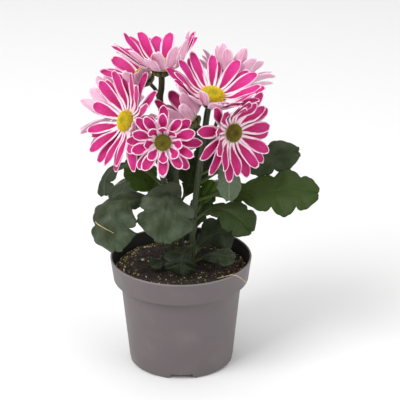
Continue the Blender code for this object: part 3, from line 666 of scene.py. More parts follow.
def swayed(tree, base, texture, amount):
    """A value that a texture moves up and down by an amount over its whole range."""
    return maths(tree, "MULTIPLY_ADD", maths(tree, "SUBTRACT", texture, 0.5), amount, base)


def blend(tree, share, first, second):
    """Output of two colours mixed."""
    mix = node(tree, "Mix", data_type="RGBA")
    for index, value in ((0, share), (6, first), (7, second)):
        if isinstance(value, bpy.types.NodeSocket):
            tree.links.new(value, mix.inputs[index])
        elif index == 0:
            mix.inputs[index].default_value = value
        else:
            mix.inputs[index].default_value = (*value[:3], 1.0)
    return mix.outputs[2]


def ramp(tree, value, stops):
    """Colour that runs through the stops, each a place and a colour."""
    made = node(tree, "ValToRGB", {"Fac": value})
    elements = made.color_ramp.elements
    while len(elements) < len(stops):
        elements.new(0.5)
    for element, (place, colour) in zip(elements, stops):
        element.position = place
        element.color = (*colour[:3], 1.0)
    return made.outputs["Color"]


def finish(name, look, roughness, bump_height=0.0, **sockets):
    """A Principled material; look takes its node tree and returns colour, bump and roughness outputs."""
    material = bpy.data.materials.new(name)
    material.use_nodes = True
    tree = material.node_tree
    shader = tree.nodes["Principled BSDF"]
    shader.inputs["Roughness"].default_value = roughness
    for key, value in sockets.items():
        shader.inputs[key.replace("_", " ")].default_value = value
    outputs = look(tree)
    for key, socket in (("colour", "Base Color"), ("roughness", "Roughness")):
        if key in outputs:
            tree.links.new(outputs[key], shader.inputs[socket])
    if "bump" in outputs:
        relief = node(tree, "Bump", {"Height": outputs["bump"], "Distance": bump_height, "Strength": 1.0})
        tree.links.new(relief.outputs["Normal"], shader.inputs["Normal"])
    return material


def colour_setting(name, colour, description):
    """A colour property with its linear default."""
    return FloatVectorProperty(name=name, description=description, subtype="COLOR", size=3,
                               min=0.0, max=1.0, default=srgb(*colour))


def length_setting(name, default, description):
    """A length property in metres."""
    return FloatProperty(name=name, description=description, unit="LENGTH", min=0.0, default=default)


def share_setting(name, default, description):
    """A property without a unit."""
    return FloatProperty(name=name, description=description, min=0.0, default=default)


def count_setting(name, default, description):
    """A whole number of at least one."""
    return IntProperty(name=name, description=description, min=1, default=default)


class PotSettings(bpy.types.PropertyGroup):
    """Sizes and finish of the nursery pot."""

    rim_radius: length_setting("Rim radius", POT_HIGH.x, "Outer radius of the pot at its lip")
    height: length_setting("Height", POT_HIGH.z, "Height of the pot")
    lip: length_setting("Lip", 0.0016, "Height of the rounded bead round the lip")
    segments: count_setting("Segments", 144, "Facets round the pot")
    outside: colour_setting("Outside", (99, 90, 92), "Colour of the plastic")
    # Lighter colour of the random mottle and of the painted highlight along the lip's bead
    highlight_and_mottle_colour: colour_setting("Lip highlight and mottle", (140, 130, 131), "Colour where the plastic is lighter")
    inside: colour_setting("Inside", (24, 24, 22), "Colour of the lining")
    roughness: share_setting("Roughness", 0.42, "Roughness of the plastic")


class SoilSettings(bpy.types.PropertyGroup):
    """Peat, crumbs, rootlets and straws."""

    rings: count_setting("Rings", 56, "Rings of the soil's surface")
    segments: count_setting("Segments", 200, "Facets round the soil")
    crumb: length_setting("Crumb", 0.0020, "Height of the lumps in the peat")
    crumbs: count_setting("Crumbs", 1700, "Loose crumbs on the soil")
    rootlets: count_setting("Rootlets", 26, "Fine roots at the edge of the soil")
    peat: colour_setting("Peat", (26, 22, 20), "Colour of damp peat")
    fibre: colour_setting("Fibre", (106, 90, 78), "Colour of dry fibres in the peat")
    straw: colour_setting("Straw", (190, 150, 110), "Colour of the straws")
    rootlet: colour_setting("Rootlet", (165, 105, 75), "Colour of the fine roots")


class StemSettings(bpy.types.PropertyGroup):
    """Ribs and colours of the stems and calyces."""

    sides: count_setting("Sides", 21, "Facets round a stem")
    ribs: count_setting("Ribs", 7, "Ribs round a stem")
    rib: share_setting("Rib height", 0.07, "Height of a rib as a share of the stem's radius")
    span: length_setting("Span", 0.002, "Length of one facet along a stem")
    hairs: count_setting("Hairs", 420, "Short hairs on each stem")
    green: colour_setting("Green", (50, 62, 28), "Colour of the stems")
    pale: colour_setting("Pale", (82, 94, 52), "Colour of the ribs")
    bract: colour_setting("Bract", (94, 106, 50), "Colour of the calyx bracts")


class PetalSettings(bpy.types.PropertyGroup):
    """Fineness, relief and colours of the petals."""

    columns: count_setting("Columns", 12, "Facets across a petal")
    rows: count_setting("Rows", 20, "Facets along a petal")
    thickness: length_setting("Thickness", 0.0005, "Thickness of a petal")
    groove: length_setting("Groove", 0.00018, "Depth of the two grooves along a petal")
    ripple: length_setting("Ripple", 0.0005, "Height of the ripples at a petal's edge")
    margin: length_setting("Margin", 0.00085, "Width of the white margin at the tip")
    crimson: colour_setting("Crimson", (150, 8, 66), "Colour at a petal's root")
    magenta: colour_setting("Magenta", (196, 20, 112), "Colour at a petal's middle")
    pink: colour_setting("Pink", (224, 52, 152), "Colour towards a petal's tip")
    white: colour_setting("White", (255, 232, 244), "Colour of the margin")
    back: colour_setting("Back", (248, 208, 228), "Colour of a petal's back")


class DiscSettings(bpy.types.PropertyGroup):
    """Florets of the discs."""

    florets: count_setting("Florets", 190, "Florets in a disc")
    floret: length_setting("Floret", 0.00062, "Radius of a floret in a full disc")
    yellow: colour_setting("Yellow", (240, 212, 24), "Colour of open florets")
    lime: colour_setting("Lime", (174, 164, 12), "Colour of the buds in a ripe disc")
    # The olive and dark colours are partly those of unopened florets and partly painted shade
    olive: colour_setting("Olive", (146, 140, 10), "Colour of the florets in a green disc")
    dark: colour_setting("Dark", (84, 70, 8), "Colour of the buds in a green disc")


class LeafSettings(bpy.types.PropertyGroup):
    """Fineness, relief and colours of the leaves."""

    columns: count_setting("Columns", 28, "Facets across a leaf")
    rows: count_setting("Rows", 76, "Facets along a leaf")
    thickness: length_setting("Thickness", 0.0006, "Thickness of a blade")
    vein: length_setting("Vein", 0.0007, "Depth of the veins in the blade")
    quilt: length_setting("Quilt", 0.0012, "Rise of the blade between its veins")
    crumple: length_setting("Crumple", 0.0014, "Height of the blade's uneven swell")
    dark: colour_setting("Dark", (34, 46, 20), "Colour of the oldest blades")
    green: colour_setting("Green", (38, 54, 8), "Colour of blades in full light")
    bright: colour_setting("Bright", (60, 88, 4), "Colour of the young blades")
    rib: colour_setting("Rib", (66, 82, 42), "Colour of the veins")
    under: colour_setting("Underside", (86, 100, 80), "Colour of the undersides")


class StageSettings(bpy.types.PropertyGroup):
    """Floor, lights and camera."""

    floor: colour_setting("Floor", (250, 250, 250), "Colour of the floor")
    world: share_setting("Surroundings", 0.5, "Strength of the light from all round")
    key: share_setting("Key light", 40.0, "Power of the light above at the left, in watts")
    fill: share_setting("Fill light", 12.0, "Power of the light at the right, in watts")
    top: share_setting("Top light", 12.0, "Power of the light overhead, in watts")


def outer_outline(pot):
    """Outline of the pot from the middle of its base to the top of its lip."""
    band_foot = pot.height - BAND_HEIGHT
    bead = pot.lip / 2
    foot = arc((BODY_FOOT_RADIUS - BASE_CORNER, BASE_CORNER), BASE_CORNER, -90, 0, 8)
    band = arc((BAND_FOOT_RADIUS - bead, band_foot + bead), bead, -90, 0, 5)
    lip = arc((pot.rim_radius - bead, pot.height - bead), bead, -30, 90, 7)
    under = [(BODY_TOP_RADIUS, band_foot - pot.lip), (BODY_TOP_RADIUS + bead / 4, band_foot - bead / 4),
             (BODY_TOP_RADIUS + bead, band_foot)]
    return [(0.0, 0.0), *foot, *under, *band, *lip]


def inner_outline(pot):
    """Outline of the pot's lining from the lip down to the middle of its floor."""
    step = pot.height - BAND_HEIGHT + WALL
    bead = pot.lip / 2
    foot = BODY_FOOT_RADIUS - WALL
    lip = arc((pot.rim_radius - bead, pot.height - bead), bead, 90, 170, 5)[1:]
    return [*lip, (BAND_FOOT_RADIUS - WALL, step), (BODY_TOP_RADIUS - WALL, step),
            (foot, FLOOR_BEVEL_HEIGHT), (foot - FLOOR_BEVEL, WALL), (0.0, WALL)]


def pocket_blocks(low_half, top_half, low, top, inner, outer):
    """Ring sectors round the base edge, narrower at their top, from an inner radius to an outer one."""
    blocks = bmesh.new()
    for index in range(POCKETS):
        middle = index * 2 * math.pi / POCKETS - math.pi / 2
        made = bmesh.ops.create_grid(blocks, x_segments=POCKET_FACETS, y_segments=1, size=1.0)["verts"]
        base = [face for face in blocks.faces if face.verts[0] in made]
        raised = bmesh.ops.extrude_face_region(blocks, geom=base, use_keep_orig=True)["geom"]
        roof = [item for item in raised if isinstance(item, bmesh.types.BMVert)]
        for verts, half, height in ((made, low_half, low), (roof, top_half, top)):
            for vert in verts:
                angle = middle + vert.co.x * half / BODY_FOOT_RADIUS
                radius = inner if vert.co.y < 0 else outer
                vert.co = polar(radius, angle, height)
    bmesh.ops.recalc_face_normals(blocks, faces=blocks.faces)
    return blocks


def paint_lining(bm, pot):
    """Give the inner wall and the ledge, above the pockets and below the lip, the second finish."""
    ledge = pot.height - BAND_HEIGHT + 2 * WALL
    for face in bm.faces:
        spot = face.calc_center_median()
        towards_axis = spot.x * face.normal.x + spot.y * face.normal.y < 0
        on_ledge = face.normal.z > UPWARD and spot.z < ledge
        between = POCKET_HEIGHT + MERGE <= spot.z < pot.height - pot.lip / 2
        face.material_index = int((towards_axis or on_ledge) and between)


def make_pot(pot):
    """The thin pot with its beaded lip, stepped band and drain pockets at the base edge."""
    shell = bmesh.new()
    turned(shell, outer_outline(pot) + inner_outline(pot), pot.segments)
    wall_inside = BODY_FOOT_RADIUS - WALL / 2
    roofs = pocket_blocks(POCKET_WIDTH / 2 + WALL, POCKET_TOP_WIDTH / 2 + WALL, WALL / 2,
                          POCKET_HEIGHT + WALL, POCKET_INNER_RADIUS - WALL, wall_inside)
    cutter = pocket_blocks(POCKET_WIDTH / 2, POCKET_TOP_WIDTH / 2, -WALL, POCKET_HEIGHT,
                           POCKET_INNER_RADIUS, POCKET_OUTER_RADIUS)
    bm = combined(combined(shell, roofs, "UNION"), cutter, "DIFFERENCE")
    paint_lining(bm, pot)
    made = piece("nursery_pot", bm, [pot_plastic(pot), pot_lining(pot)], ["pot"])
    made.data.set_sharp_from_angle(angle=SHARP_ANGLE)


def pot_plastic(pot):
    """Satin grey plastic, faintly mottled, with a painted highlight along the lip's bead."""
    def look(tree):
        mottle = grain(tree, places(tree), 38.0, detail=4.0)
        fine = grain(tree, places(tree), 2600.0, detail=2.0)
        height = node(tree, "SeparateXYZ", {0: node(tree, "TexCoord").outputs["Object"]}).outputs["Z"]
        # Painted highlight along the lip's bead; the same lighter colour also shows in the random mottle
        lip = ease(tree, height, pot.height - pot.lip, pot.height - pot.lip / 4)
        highlight_and_mottle = maths(tree, "MULTIPLY_ADD", lip, 0.55, ease(tree, mottle, 0.45, 0.8, 0.0, 0.22))
        colour = blend(tree, highlight_and_mottle, pot.outside, pot.highlight_and_mottle_colour)
        rough = ease(tree, mottle, 0.3, 0.7, pot.roughness - 0.05, pot.roughness + 0.1)
        return {"colour": colour, "roughness": rough, "bump": fine}
    return finish("satin_pot_plastic", look, pot.roughness, bump_height=0.00002)


def pot_lining(pot):
    """Near-black inner face, dusted with peat in patches."""
    def look(tree):
        dust = ease(tree, grain(tree, places(tree), 210.0, detail=6.0, roughness=0.65), 0.52, 0.68, 0.0, 0.5)
        return {"colour": blend(tree, dust, pot.inside, srgb(34, 28, 24))}
    return finish("black_pot_lining", look, roughness=0.6)


def soil_height(radius):
    """Height of the mounded peat at a radius, before its lumps."""
    return SOIL_LEVEL + SOIL_CROWN * math.cos(min(radius / SOIL_EDGE, 1.0) * math.pi / 2)


def soil_lump(soil, spot):
    """Rise of the peat's lumps, big, small and fine, at a place."""
    big, small, fine = (noise(Vector((spot.x, spot.y, layer)) * scale) for layer, scale in LUMP_LAYERS)
    rise, small_rise, fine_rise = LUMP_RISES
    return soil.crumb * (rise * big + small_rise * abs(small) + fine_rise * fine)


def faded_lump(soil, spot, reach):
    """Rise of the lumps, which fade out towards the pot's wall."""
    return soil_lump(soil, spot) * smooth_step((SOIL_EDGE - reach) / SOIL_FADE)


def make_peat(soil):
    """Crumbly peat with a lumpy top, closed below."""
    reaches = [SOIL_EDGE * ring / soil.rings for ring in range(soil.rings + 1)]
    top = [(reach, soil_height(reach)) for reach in reaches]
    low = POT_HIGH.z - BAND_HEIGHT + 2 * WALL
    bm = bmesh.new()
    turned(bm, top + [(SOIL_EDGE, low), (0.0, low)], soil.segments)
    for vert in bm.verts:
        if vert.co.z > SOIL_LEVEL - GAP:
            vert.co.z += faded_lump(soil, vert.co, math.hypot(vert.co.x, vert.co.y))
    piece("peat", bm, [damp_peat(soil)], ["soil"])


def damp_peat(soil):
    """Dark damp peat with drier fibres in patches."""
    def look(tree):
        tone = grain(tree, places(tree), 900.0, detail=6.0, roughness=0.7)
        patch = grain(tree, places(tree), 120.0, detail=3.0)
        dry = ease(tree, patch, 0.35, 0.65, 0.2, 1.0)
        share = maths(tree, "MULTIPLY", ease(tree, tone, 0.46, 0.62), dry)
        return {"colour": blend(tree, share, soil.peat, soil.fibre), "bump": tone}
    return finish("damp_peat", look, roughness=0.95, bump_height=0.0009)


def crumb_tones():
    """Colours of the loose crumbs, from peat through bark and lime to white grit."""
    return [(0.0, srgb(44, 33, 28)), (0.35, srgb(86, 62, 44)), (0.55, srgb(140, 112, 70)),
            (0.72, srgb(148, 140, 66)), (0.88, srgb(196, 184, 130)), (1.0, srgb(236, 232, 220))]


def make_crumbs(soil):
    """Loose crumbs of bark, peat and grit, thickest along the wall and paler there and at the front."""
    draw = random.Random(CRUMB_SEED)
    bm = marked("tone")
    for _ in range(soil.crumbs):
        by_wall = draw.random() < WALL_CRUMB_SHARE
        if by_wall:
            reach = SOIL_EDGE - WALL_CLEARANCE - abs(draw.gauss(0, WALL_CRUMB_SPREAD))
        else:
            reach = SOIL_EDGE * math.sqrt(draw.random()) * OPEN_CRUMB_REACH
        spot = polar(reach, draw.uniform(0, 2 * math.pi))
        size = draw.uniform(*CRUMB_RADII) * (BIG_CRUMB if draw.random() < BIG_CRUMB_SHARE else 1.0)
        spot.z = soil_height(reach) + faded_lump(soil, spot, reach) + size * CRUMB_PROUD
        lump = lay_crumb(bm, spot, size, draw)
        pale = by_wall or spot.y < PALE_FRONT
        tag(bm, lump, tone=draw.random() ** (PALE_POWER if pale else DARK_POWER))
    made = piece("loose_crumbs", bm, [bark_and_grit()])
    made.data.shade_flat()


def lay_crumb(bm, spot, size, draw):
    """One crumb, stretched, tipped and dented by chance; returns its vertices."""
    spread = Matrix.Diagonal((*(draw.uniform(*stretch) for stretch in CRUMB_STRETCH), 1.0))
    turn = (Matrix.Rotation(draw.uniform(*ANY_TURN), 4, "Z")
            @ Matrix.Rotation(draw.uniform(-CRUMB_TILT, CRUMB_TILT), 4, "X"))
    lump = bmesh.ops.create_icosphere(bm, subdivisions=1, radius=size,
                                      matrix=Matrix.Translation(spot) @ turn @ spread)["verts"]
    for vert in lump:
        vert.co += (vert.co - spot) * draw.uniform(*CRUMB_DENTS)
    return lump


def bark_and_grit():
    """Crumbs in the colours of peat, bark and grit, each finely speckled."""
    def look(tree):
        speck = grain(tree, places(tree), 2400.0, detail=2.0)
        tone = swayed(tree, value_of(tree, "tone"), speck, CRUMB_SPECKLE)
        return {"colour": ramp(tree, tone, crumb_tones()), "bump": speck}
    return finish("bark_and_grit", look, roughness=0.9, bump_height=0.0002)


def strand(bm, points, radius, rows, sides, end_share=0.35):
    """A thin round strand through the points that tapers to its end."""
    def place(column, row):
        share = row / rows
        along = direction(points, share)
        across = along.cross(Vector(STRAND_SIDE)).normalized()
        angle = 2 * math.pi * column / sides
        reach = radius * mixed(1.0, end_share, share)
        outward = across * math.cos(angle) + along.cross(across) * math.sin(angle)
        return spline(points, share) + reach * outward
    return tube(bm, sides, rows, place)


def make_rootlets(soil):
    """Fine wandering roots on the soil, most of them by the right wall."""
    draw = random.Random(ROOTLET_SEED)
    bm = bmesh.new()
    for index in range(soil.rootlets):
        at_right = index < soil.rootlets * RIGHT_ROOTLETS
        angle = draw.gauss(*RIGHT_WALL) if at_right else draw.uniform(0, 2 * math.pi)
        spot = polar(SOIL_EDGE - draw.uniform(*ROOTLET_INSET), angle)
        heading = angle + math.pi / 2 + draw.uniform(-ROOTLET_AIM, ROOTLET_AIM)
        points = []
        for _ in range(ROOTLET_STEPS):
            reach = min(math.hypot(spot.x, spot.y), SOIL_EDGE - WALL_CLEARANCE)
            spot = Vector((spot.x, spot.y, 0.0)).normalized() * reach
            spot.z = soil_height(reach) + max(0.0, soil_lump(soil, spot)) + draw.uniform(*ROOTLET_LIFT)
            points.append(spot.copy())
            heading += draw.uniform(-ROOTLET_BEND, ROOTLET_BEND)
            spot += polar(1.0, heading) * draw.uniform(*ROOTLET_STRIDE)
        strand(bm, points, draw.uniform(*ROOTLET_RADII), *ROOTLET_GRID)

    def look(tree):
        return {"colour": blend(tree, grain(tree, places(tree), 900.0), soil.rootlet, soil.fibre)}
    piece("rootlets", bm, [finish("fine_roots", look, roughness=0.7)])


def make_straws(soil):
    """Two dry straws: one lies over the rim and one on the left leaf."""
    def look(tree):
        pale = ease(tree, grain(tree, places(tree), 260.0), 0.3, 0.7)
        return {"colour": blend(tree, pale, soil.straw, srgb(222, 198, 150))}
    straw_finish = finish("dry_straw", look, roughness=0.55)
    for name, route in STRAWS.items():
        bm = bmesh.new()
        strand(bm, [Vector(p) for p in route], STRAW_RADIUS, *STRAW_GRID, STRAW_END)
        piece(name, bm, [straw_finish])


def lay_stalk(bm, stem, route):
    """A ribbed stem or stalk with small swellings, and the points where hairs may grow."""
    points = stalk_points(route)
    length = sum((a - b).length for a, b in zip(points, points[1:]))
    rows = round(length / stem.span)
    side = Vector((1, 0, 0))
    seats = []

    def place(column, row):
        share = row / rows
        along = direction(points, share)
        across = (side - along * side.dot(along)).normalized()
        angle = 2 * math.pi * column / stem.sides
        outward = across * math.cos(angle) + along.cross(across) * math.sin(angle)
        uneven = STEM_SWELL * noise(Vector((share * length * STEM_SWELL_SCALE, angle, 0)))
        swell = 1.0 + stem.rib * math.cos(stem.ribs * angle) + uneven
        spot = spline(points, share) + outward * route.radius * swell
        seats.append((spot, outward))
        return spot

    def marks(column, row):
        return {"tone": math.cos(stem.ribs * 2 * math.pi * column / stem.sides)}
    tube(bm, stem.sides, rows, place, marks)
    return seats


def cup_radius(bloom, depth):
    """Radius of a bloom's calyx at a depth below the petals."""
    outline = [(bloom.disc * share, low) for share, low in CALYX_OUTLINE[1:]]
    outline.append((PEDUNCLE_RADIUS * CALYX_FOOT, CALYX_DEPTH))
    for (radius, high), (next_radius, low) in zip(outline, outline[1:]):
        if depth <= low:
            return mixed(radius, next_radius, max(0.0, depth - high) / (low - high))
    return outline[-1][0]


def lay_calyx(bm, bloom):
    """The green cup under a bloom and its overlapping bracts in three rows."""
    low = CORE_LOW - GAP
    profile = [(bloom.disc * share, low - depth) for share, depth in CALYX_OUTLINE]
    profile += [(PEDUNCLE_RADIUS * CALYX_FOOT, low - CALYX_DEPTH), (0.0, low - CALYX_DEPTH - GAP)]
    cup = marked("tone")
    turned(cup, profile, ROUND_SIDES)
    bmesh.ops.transform(cup, matrix=bloom_frame(bloom), verts=cup.verts)
    absorb(bm, cup)
    draw = random.Random(bloom.seed + BRACT_SEED)
    for start, end, count, half in BRACT_ROWS:
        for index in range(count):
            jitter = draw.uniform(-BRACT_JITTER, BRACT_JITTER)
            middle = 2 * math.pi * (index + jitter) / count + start * ROW_TURN
            half_width = half * draw.uniform(*BRACT_WIDTHS)
            lay_bract(bm, bloom, (start, end), middle, half_width, draw.uniform(*BRACT_FLARE))


def lay_bract(bm, bloom, depths, middle, half_width, flare):
    """One pointed bract that follows the cup from its root's depth to its tip's, flared outwards."""
    turn = bloom_frame(bloom)
    low = CORE_LOW - GAP
    begin, span, power = BRACT_SHAPE

    def surface(offset, share):
        depth = mixed(*depths, share)
        radius = cup_radius(bloom, depth) + GAP + flare * share
        width = half_width * math.sin(math.pi * (begin + span * share) ** power)
        outward = polar(1.0, middle + offset * width / radius)
        return turn @ (outward * radius + Vector((0, 0, low - depth))), turn.to_3x3() @ outward

    def half_thickness(offset, share):
        return BRACT_HALF_THICKNESS

    def marks(offset, share):
        return {"tone": BRACT_TONE + abs(offset)}
    blade(bm, *BRACT_GRID, surface, half_thickness, marks)


def lay_hairs(bm, seats, draw, count):
    """Short fine hairs that stand off the stem."""
    for spot, outward in draw.sample(seats, min(count, len(seats))):
        lean = Vector([draw.uniform(*reach) for reach in (HAIR_LEAN, HAIR_LEAN, HAIR_RISE)])
        turn = (outward + lean).to_track_quat("Z", "Y").to_matrix().to_4x4()
        length = draw.uniform(*HAIR_LENGTHS)
        middle = spot + (outward + lean).normalized() * length * HAIR_STAND
        hair = bmesh.ops.create_cone(bm, cap_ends=False, segments=3, radius1=HAIR_RADIUS, radius2=HAIR_TIP,
                                     depth=length, matrix=Matrix.Translation(middle) @ turn)["verts"]
        tag(bm, hair, tone=HAIR_TONE)


def stem_green(stem):
    """Green with paler ribs on the stems, yellower bracts with dry edges, and pale hairs, by tone."""
    def look(tree):
        tone = value_of(tree, "tone")
        streak = grain(tree, places(tree, STREAKS_ALONG), 1500.0, detail=3.0)
        patch = grain(tree, places(tree), 90.0, detail=2.0)
        broken = ease(tree, streak, 0.35, 0.65, 0.4, 1.0)
        ridge = maths(tree, "MULTIPLY", ease(tree, tone, -0.2, 1.0), broken)
        colour = blend(tree, ease(tree, patch, 0.3, 0.7, 0.0, 0.45), stem.green, srgb(58, 72, 36))
        colour = blend(tree, maths(tree, "MULTIPLY", ridge, 0.7), colour, stem.pale)
        colour = blend(tree, ease(tree, tone, 1.5, 2.0), colour, stem.bract)
        colour = blend(tree, ease(tree, tone, 2.55, 2.95, 0.0, 0.6), colour, srgb(150, 140, 96))
        colour = blend(tree, ease(tree, tone, 3.2, 3.8), colour, srgb(205, 210, 190))
        return {"colour": colour, "bump": streak}
    return finish("ribbed_stem_green", look, roughness=0.5, bump_height=0.00012)


def make_stems(stem):
    """The ribbed, finely hairy stems with their flower stalks and calyces."""
    heads = {bloom.name: bloom for bloom in BLOOMS}
    green = stem_green(stem)
    for name, routes in STALKS.items():
        bm = marked("tone")
        draw = random.Random(name)
        for route in routes:
            seats = lay_stalk(bm, stem, route)
            lay_hairs(bm, seats, draw, stem.hairs // len(routes))
        for route in routes:
            lay_calyx(bm, heads[route.bloom])
        bmesh.ops.recalc_face_normals(bm, faces=bm.faces)
        piece(name.replace("stem", "ribbed_stem"), bm, [green], [name])


def petals_of(bloom):
    """The petals of a bloom, ring by ring, each lower ring shifted to show between the petals above."""
    draw = random.Random(bloom.seed)
    towards = bloom_frame(bloom).to_3x3().inverted() @ Vector(bloom.lean_to)
    lean_angle = math.atan2(towards.y, towards.x)
    result = []
    for ring, (count, length, cup) in enumerate(bloom.rings):
        for index in range(count):
            shift = draw.uniform(-ANGLE_SPREAD, ANGLE_SPREAD)
            angle = 2 * math.pi * (index + 0.5 * ring + shift) / count
            result.append(Petal(
                angle, -RING_DROP * ring, bloom.radius * length * draw.uniform(*LENGTH_RANGE),
                bloom.width * draw.uniform(*WIDTH_RANGE),
                cup + bloom.lean * math.cos(angle - lean_angle) + draw.uniform(-CUP_SPREAD, CUP_SPREAD),
                draw.uniform(*CURL_RANGE), draw.uniform(-TWIST_SPREAD, TWIST_SPREAD),
                draw.uniform(*CHANNEL_RANGE), count))
    return result


def petal_line(bloom, petal, lift):
    """Centre line of a petal: out from the core, then up to its cup angle, then a slight turn back."""
    start = bloom.disc * PETAL_ROOT
    reach = petal.length - start
    radius, height = start, petal.root_height
    line = []
    for step in range(CURVE_STEPS + 1):
        share = step / CURVE_STEPS
        rise = petal.cup + lift
        bend = rise * smooth_step((share - RISE_START) / RISE_SPAN) - petal.curl * share * share
        slope = math.radians(bend)
        line.append(Vector((radius, height, slope)))
        radius += reach / CURVE_STEPS * math.cos(slope)
        height += reach / CURVE_STEPS * math.sin(slope)
    return line


def petal_width(share, end):
    """Width of a petal along its length as a share of its widest; end is where its tip would close."""
    if share < PETAL_WIDEST:
        return PETAL_NECK + (1.0 - PETAL_NECK) * math.sin(math.pi / 2 * share / PETAL_WIDEST)
    return math.sqrt(1.0 - ((share - PETAL_WIDEST) / (end - PETAL_WIDEST)) ** 2)


def on_petal(petal, line, turn, offset, share, lift, end):
    """Point of a petal, its normal and its half width, by offset across, share along and height above."""
    place = share * CURVE_STEPS
    index = min(int(place), CURVE_STEPS - 1)
    radius, height, slope = line[index].lerp(line[index + 1], place - index)
    twist = math.radians(petal.twist) * smooth_step(share)
    room = RING_FILL * 2 * math.pi * radius / petal.ring_count
    half = min(petal.width * petal_width(share, end), room) / 2
    above = lift(half)
    y = offset * half * math.cos(twist) - above * math.sin(twist)
    n = offset * half * math.sin(twist) + above * math.cos(twist)
    spot = turn @ Vector((radius - n * math.sin(slope), y, height + n * math.cos(slope)))
    normal = turn.to_3x3() @ Vector((-math.sin(slope), -math.sin(twist), math.cos(slope)))
    return spot, normal.normalized(), half


def laid_petal(bloom, petal, solid):
    """The petal and lift whose tip lies where the solid has it, or None for one that was left out."""
    best = (SAME_PLACE, None, None)
    turn = bloom_frame(bloom) @ Matrix.Rotation(petal.angle, 4, "Z")
    for share in SHORTER:
        trial = petal._replace(length=petal.length * share)
        for lift in LIFTS:
            line = petal_line(bloom, trial, lift)
            misses = []
            for side, up in ((-1, 0), (0, 1), (1, 0), (0, -1)):
                def above(half):
                    return up * PETAL_THICKNESS / 2 + (trial.channel * half * 2 if side else 0.0)
                spot = on_petal(trial, line, turn, side, 1.0, above, PETAL_END)[0]
                misses.append(solid.find(spot)[2])
            miss = sum(sorted(misses)[:2])
            if miss < best[0]:
                best = (miss, trial, line)
    return best[1:]


def rim_distance(petal, offset, share, half):
    """Distance to a petal's edge, in millimetres."""
    if share < PETAL_WIDEST:
        return (1.0 - abs(offset)) * half * MILLIMETRES
    ahead = (share - PETAL_WIDEST) / (1.0 - PETAL_WIDEST)
    out = abs(offset) * petal_width(share, TIP_END)
    reach = max(math.hypot(ahead, out), MERGE)
    scale = mixed(petal.width / 2, (1.0 - PETAL_WIDEST) * petal.length, (ahead / reach) ** 2)
    return max(0.0, 1.0 - reach) * scale * MILLIMETRES


def lay_petal(bm, bloom, petal, line, look, draw):
    """One channelled petal with two grooves, a rippled edge and its surface values."""
    turn = bloom_frame(bloom) @ Matrix.Rotation(petal.angle, 4, "Z")
    phase, tint, hook = (draw.uniform(*reach) for reach in (ANY_TURN, (-1, 1), HOOK_RANGE))
    depth = PETAL_SHADE_DEPTHS.get(bloom.name, 0.0)
    along = [1.0 - (1.0 - step / look.rows) ** ROW_CROWDING for step in range(look.rows + 1)]

    def surface(offset, row_share):
        share = along[round(row_share * look.rows)]
        open_part = smooth_step(share * CHANNEL_RISE)
        waves = share * RIPPLE_WAVES + phase + half_of(offset)

        def above(half):
            channel = petal.channel * half * 2 * abs(offset) ** CHANNEL_POWER
            ridge = look.groove * math.cos(3 * math.pi * offset) * (1 - abs(offset) ** 3)
            ripple = look.ripple * offset * offset * math.sin(waves)
            tip = hook * smooth_step((share - HOOK_START) / HOOK_SPAN) * (HOOK_MIDDLE + abs(offset))
            return open_part * (channel + ridge + ripple) + tip
        return on_petal(petal, line, turn, offset, share, above, TIP_END)[:2]

    def marks(offset, row_share):
        share = along[round(row_share * look.rows)]
        half = on_petal(petal, line, turn, offset, share, lambda width: 0.0, TIP_END)[2]
        return {"across": offset * half * MILLIMETRES, "along": share, "tint": tint, "depth": depth,
                "rim": rim_distance(petal, offset, share, half)}

    def half_thickness(offset, row_share):
        return look.thickness / 2 * mixed(ROOT_THICKENING, 1.0, smooth_step(row_share * ROOT_THINNING))
    blade(bm, look.columns, look.rows, surface, half_thickness, marks)


def lay_core(bm, bloom):
    """The receptacle that the petals grow from."""
    reach = bloom.disc * CORE_SHARE
    depth = CORE_TOP - CORE_LOW
    middle = bloom_frame(bloom) @ Matrix.Translation((0, 0, (CORE_TOP + CORE_LOW) / 2))
    core = bmesh.ops.create_cone(bm, cap_ends=True, segments=ROUND_SIDES, radius1=reach * CORE_TAPER,
                                 radius2=reach, depth=depth, matrix=middle)["verts"]
    tag(bm, core, rim=0.0, along=0.0)


def corners_of(node_name):
    """Corners of a CAD node's solid, for finding the nearest one."""
    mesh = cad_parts[node_name].data
    corners = KDTree(len(mesh.vertices))
    for index, vert in enumerate(mesh.vertices):
        corners.insert(vert.co, index)
    corners.balance()
    return corners


def make_petals(look):
    """Every bloom's petals, laid where the solids have them."""
    finishes = [petal_face(look), petal_back(look)]
    for bloom in BLOOMS:
        node_name = "bloom_" + bloom.name + "_petals"
        solid = corners_of(node_name)
        draw = random.Random(bloom.seed + PETAL_SEED)
        bm = marked("across", "along", "rim", "tint", "depth")
        lay_core(bm, bloom)
        for petal in petals_of(bloom):
            trial, line = laid_petal(bloom, petal, solid)
            if trial is not None:
                lay_petal(bm, bloom, trial, line, look, draw)
        bmesh.ops.recalc_face_normals(bm, faces=bm.faces)
        piece("petals_" + bloom.name, bm, finishes, [node_name])


def petal_streaks(tree, scale):
    """Fine streaks that run along a petal."""
    along = maths(tree, "MULTIPLY", value_of(tree, "along"), STREAK_STRETCH)
    shift = maths(tree, "MULTIPLY", value_of(tree, "tint"), STREAK_SHIFT)
    spot = node(tree, "CombineXYZ", {0: value_of(tree, "across"), 1: along, 2: shift}).outputs[0]
    return grain(tree, spot, scale, detail=3.0, roughness=0.6)


